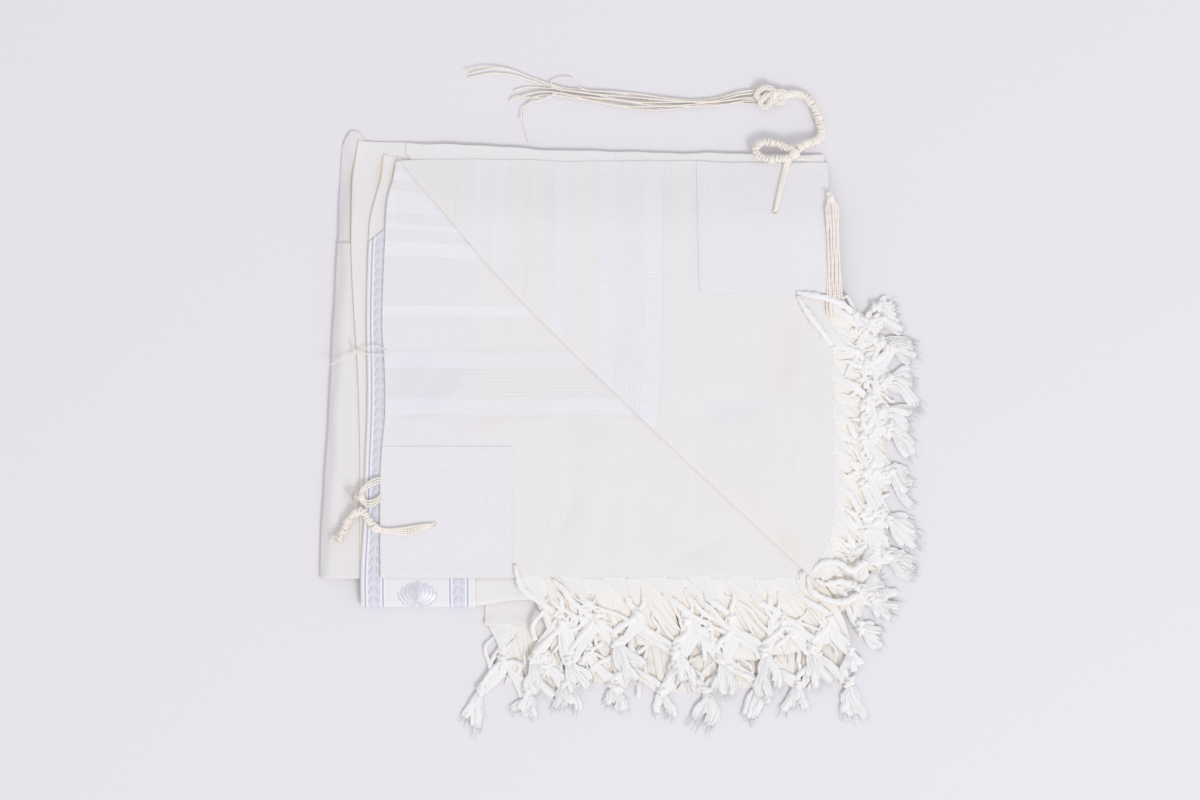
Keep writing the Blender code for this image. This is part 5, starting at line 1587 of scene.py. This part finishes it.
for aside in (-1, 0, 1):
    path = [(148.6 + aside * 2.2, 211.5, 15.6)]
    for x, y in ((145.2, 204), (141.6, 190), (138, 176), (135.6, 165.2)):
        share = (y - UPPER_EYELET[1]) / 45
        path.append(on_ply(x + aside * (0.5 + 1.1 * share), y, FLAP + 1, 0.9 + 0.5 * share))
    path.append((UPPER_EYELET[0] + aside * 0.4, UPPER_EYELET[1] + 0.8, path[-1][2] - 1.9))
    upper.append(twisted(curve(path, 60), 0.62, 9, (0, 2.1, 4.2), 0.66, 6))

UPPER_BUNDLE = (
    (124, 267.3), (104.4, 266), (86, 263.2), (68.4, 261.9), (40, 261.2), (14.4, 262.4), (-8, 265.5),
    (-26, 268), (-45, 270.5), (-58, 272.6),
)
# For each string: how far aside it stands in the bundle, its height, and where its end strays
UPPER_STRINGS = (
    (2.5, 3.2, ((-84, 284.5), (-104, 292), (-124, 294), (-142.5, 290.5))),
    (3.9, 1.2, ((-80, 281), (-98, 286.5), (-118, 288.5), (-140.5, 285))),
    (1.3, 1.2, ((-76, 275.6), (-88, 276), (-99, 272.5))),
    (-1.3, 1.2, ((-74, 271.6), (-86, 270.5), (-101, 264.5))),
    (-3.9, 1.2, ((-70, 267.6), (-82, 265), (-89.5, 257.5), (-90.5, 244), (-85.5, 226))),
    (-4.1, 3.2, ((-68, 267), (-76, 263.5), (-84, 262), (-91.5, 256), (-92.5, 246))),
    (-1.6, 3.2, ((-76, 271.6), (-93, 267.5))),
    (0.5, 3.2, ((-66, 279), (-58, 284), (-47, 283.5), (-40, 276), (-32, 272))),
    (5, 2.4, ((-82, 284), (-100, 290.5), (-120, 292.4), (-139, 288))),
    (-5.2, 2.2, ((-72, 269), (-84, 266.5), (-97, 268), (-103, 263))),
)
for number, (aside, height, stray) in enumerate(UPPER_STRINGS):
    path = []
    for x, y in UPPER_BUNDLE:
        sway = aside * (0.92 + 0.3 * math.cos(x / 23)) + 1.1 * math.sin(x / 15 + number * 2.4)
        path.append((x, y + sway, height + 0.9 * math.sin(x / 19 + number * 1.9) ** 2))
    path += [(x, y, height + 0.4 * math.sin(x)) for x, y in stray]
    upper.append(string(curve(path, 96)))

lower_wound = (
    (-222, -120.5, 14.6), (-228.5, -112.5, 15), (-235, -104.8, 14.4), (-242.5, -108, 12.6),
    (-248.5, -116, 11.4), (-252.5, -124.5, 10.9), (-256.2, -131, 10.8),
)
lower = wound_cord(lower_wound, 2.5, chance)
lower += double_knot((-221.6, -120.6, 14.4), (1, -0.2, 0), 4.6, chance)
lower += fuzzy_hairs(lower_wound, 150, 4.2, chance) + fuzzy_hairs(lower_wound[-2:], 60, 5.5, chance)
for aside, sag in ((1.6, 0.4), (0.4, -1.2), (-0.8, -2.8), (-1.8, -4.4)):
    path = [(-220, -121.5 + aside, 15.4)]
    for x, y in ((-209, -122.6), (-196, -121), (-184, -118.6), (-173.6, -116.8)):
        share = (LOWER_EYELET[0] - x) / 40
        y = y + aside * share + sag * math.sin(math.pi * min(share * 1.1, 1))
        path.append(on_ply(x, y, PANEL + 1, 0.9))
    path.append((LOWER_EYELET[0] - 0.6, LOWER_EYELET[1], path[-1][2] - 1.8))
    lower.append(twisted(curve(path, 60), 0.55, 9, (0, 2.1, 4.2), 0.6, 6))
for turn in range(2):
    end = curve(((-254, -131 - turn, 11), (-260, -128 + turn, 11.2), (-262.5, -132 - turn, 10.6)), 14)
    lower.append(string(end, 0.7))

loop = []
for ring in range(3):
    out = ring * 2.3
    points = (
        (-217.5, -74.6 - out, 13.4), (-225, -76.8 - out, 13.8), (-231.5, -81.4 - out * 0.9, 14.2),
        (-236.6 + out * 0.7, -88.4, 14.4), (-235.6 + out * 0.7, -95.6 + out * 0.4, 14.2),
        (-230, -100.4 + out, 13.9), (-223.5, -99.2 + out, 13.6), (-217.5, -95 + out, 13.2),
    )
    loop.append(string(curve(points, 64), 0.95))
loop += fuzzy_hairs(((-241, -87, 13.6), (-243, -92, 13.4), (-241, -97, 13.4)), 80, 4.5, chance)
loop += double_knot((-235.4, -92.6, 14), (0.2, 1, 0), 3.6, chance)

side = double_knot((184.8, 175, 13.4), (0, 1, 0), 3.4, chance)
for number in range(11):
    aside = (number - 5) * 1.25
    path = [(182.8 + 0.25 * aside, 181, 13.6), (184.4 + 0.3 * aside, 175, 14)]
    for step in range(8):
        y = 166 - step * 13.2
        spread = aside * (0.75 + 0.04 * step) + 0.6 * math.sin(y / 15 + number * 2.1)
        high = 14 - 0.3 * step - 0.35 * spread + 0.7 * math.sin(number * 2.6 + y / 23)
        path.append((186.2 + step * 0.35 + spread, y, high))
    path.append((190.5 + 0.4 * aside, 62, 10.6))
    side.append(string(curve(path, 60), 1.15))
for name, strands, node in (
    ("upper_tassel", upper, "tzitzit_upper"),
    ("lower_tassel", lower, "tzitzit_lower"),
    ("lower_tassel_loop", loop, "tzitzit_lower_loop"),
    ("side_tassel", side, "tzitzit_side"),
):
    settle(join(name, strands, tassel_wool.material), node)

# ---------------------------------------------------------------- tie thread
# A doubled cream thread of the same wool as the tassels. It ties the folds together at their left
# edges and is knotted on top.
THREAD_RADIUS = 0.5
THREAD_ROUTES = (
    ((-211.5, 37.5, 15.2), (-218, 41.6, 14.6), (-224.5, 42.8, 14.4), (-233, 39.6, 13.6), (-238.8, 37.4, 13)),
    ((-213, 34.6, 14.6), (-221, 35.2, 14.3), (-229, 35.4, 13.8), (-238.8, 37, 13)),
    ((-239.5, 37.6, 13.2), (-247, 33.8, 12.6), (-256, 29.4, 12.2), (-264.6, 25.6, 11.9)),
    ((-240, 37.8, 13.2), (-242.6, 42, 13.6), (-243.2, 46.6, 13)),
    ((-239.8, 37.2, 13.2), (-242.5, 33.4, 12.8), (-244, 30.2, 12.6)),
)
thread = [string(curve(points, 40), THREAD_RADIUS) for points in THREAD_ROUTES]
share = np.linspace(0, 1, 40)
knot = (-239.8 + 1.5 * np.cos(share * 15), 37.6 + 1.6 * np.sin(share * 15), 12.8 + 1.2 * share)
thread.append(tubes(np.stack(knot, -1)[None], THREAD_RADIUS, 6))
tie_thread = join("tie_thread", thread, tassel_wool.material)
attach(tie_thread, "root")

# ---------------------------------------------------------------- floor, light and camera
# A plain pale sheet that the shawl lies on, soft studio light from the right, and a camera
# straight above.
FLOOR_WHITE = (0.85, 0.83, 0.868, 1)
STUDIO_WHITE, STUDIO_STRENGTH = (0.975, 0.98, 1, 1), 0.72
VIEW_WIDTH = 1080
VIEW_CENTRE = (-21.6, -5.4)
CAMERA_HEIGHT = 2.4
SENSOR = 36

floor_paper = Finish("pale_floor", 0.9, specular=0.1)
floor_paper.set(**{"Base Color": FLOOR_WHITE})
bpy.ops.mesh.primitive_plane_add(size=12, location=(0, 0, -0.0003))
floor = bpy.context.object
floor.name = "floor"
floor.data.materials.append(floor_paper.material)


def soft_light(name, place, size, watts, colour):
    """An area light that points at the pile."""
    lamp = bpy.data.lights.new(name, "AREA")
    lamp.shape = "DISK"
    lamp.size = size
    lamp.energy = watts
    lamp.color = colour
    light = bpy.data.objects.new(name, lamp)
    light.location = place
    light.rotation_euler = (-Vector(place)).to_track_quat("-Z", "Y").to_euler()
    bpy.context.scene.collection.objects.link(light)


soft_light("key_light", (2.5, -3.4, 4.9), 2.2, 140, (1, 1, 1))
world = bpy.data.worlds.new("studio")
bpy.context.scene.world = world
world.use_nodes = True
world.node_tree.nodes["Background"].inputs["Color"].default_value = STUDIO_WHITE
world.node_tree.nodes["Background"].inputs["Strength"].default_value = STUDIO_STRENGTH

camera = bpy.data.objects.new("camera", bpy.data.cameras.new("camera"))
camera.data.sensor_width = SENSOR
camera.data.lens = SENSOR * CAMERA_HEIGHT * 1000 / VIEW_WIDTH
camera.location = (VIEW_CENTRE[0] * MM, VIEW_CENTRE[1] * MM, CAMERA_HEIGHT)
bpy.context.scene.collection.objects.link(camera)
bpy.context.scene.camera = camera
bpy.context.scene.view_settings.view_transform = "Standard"
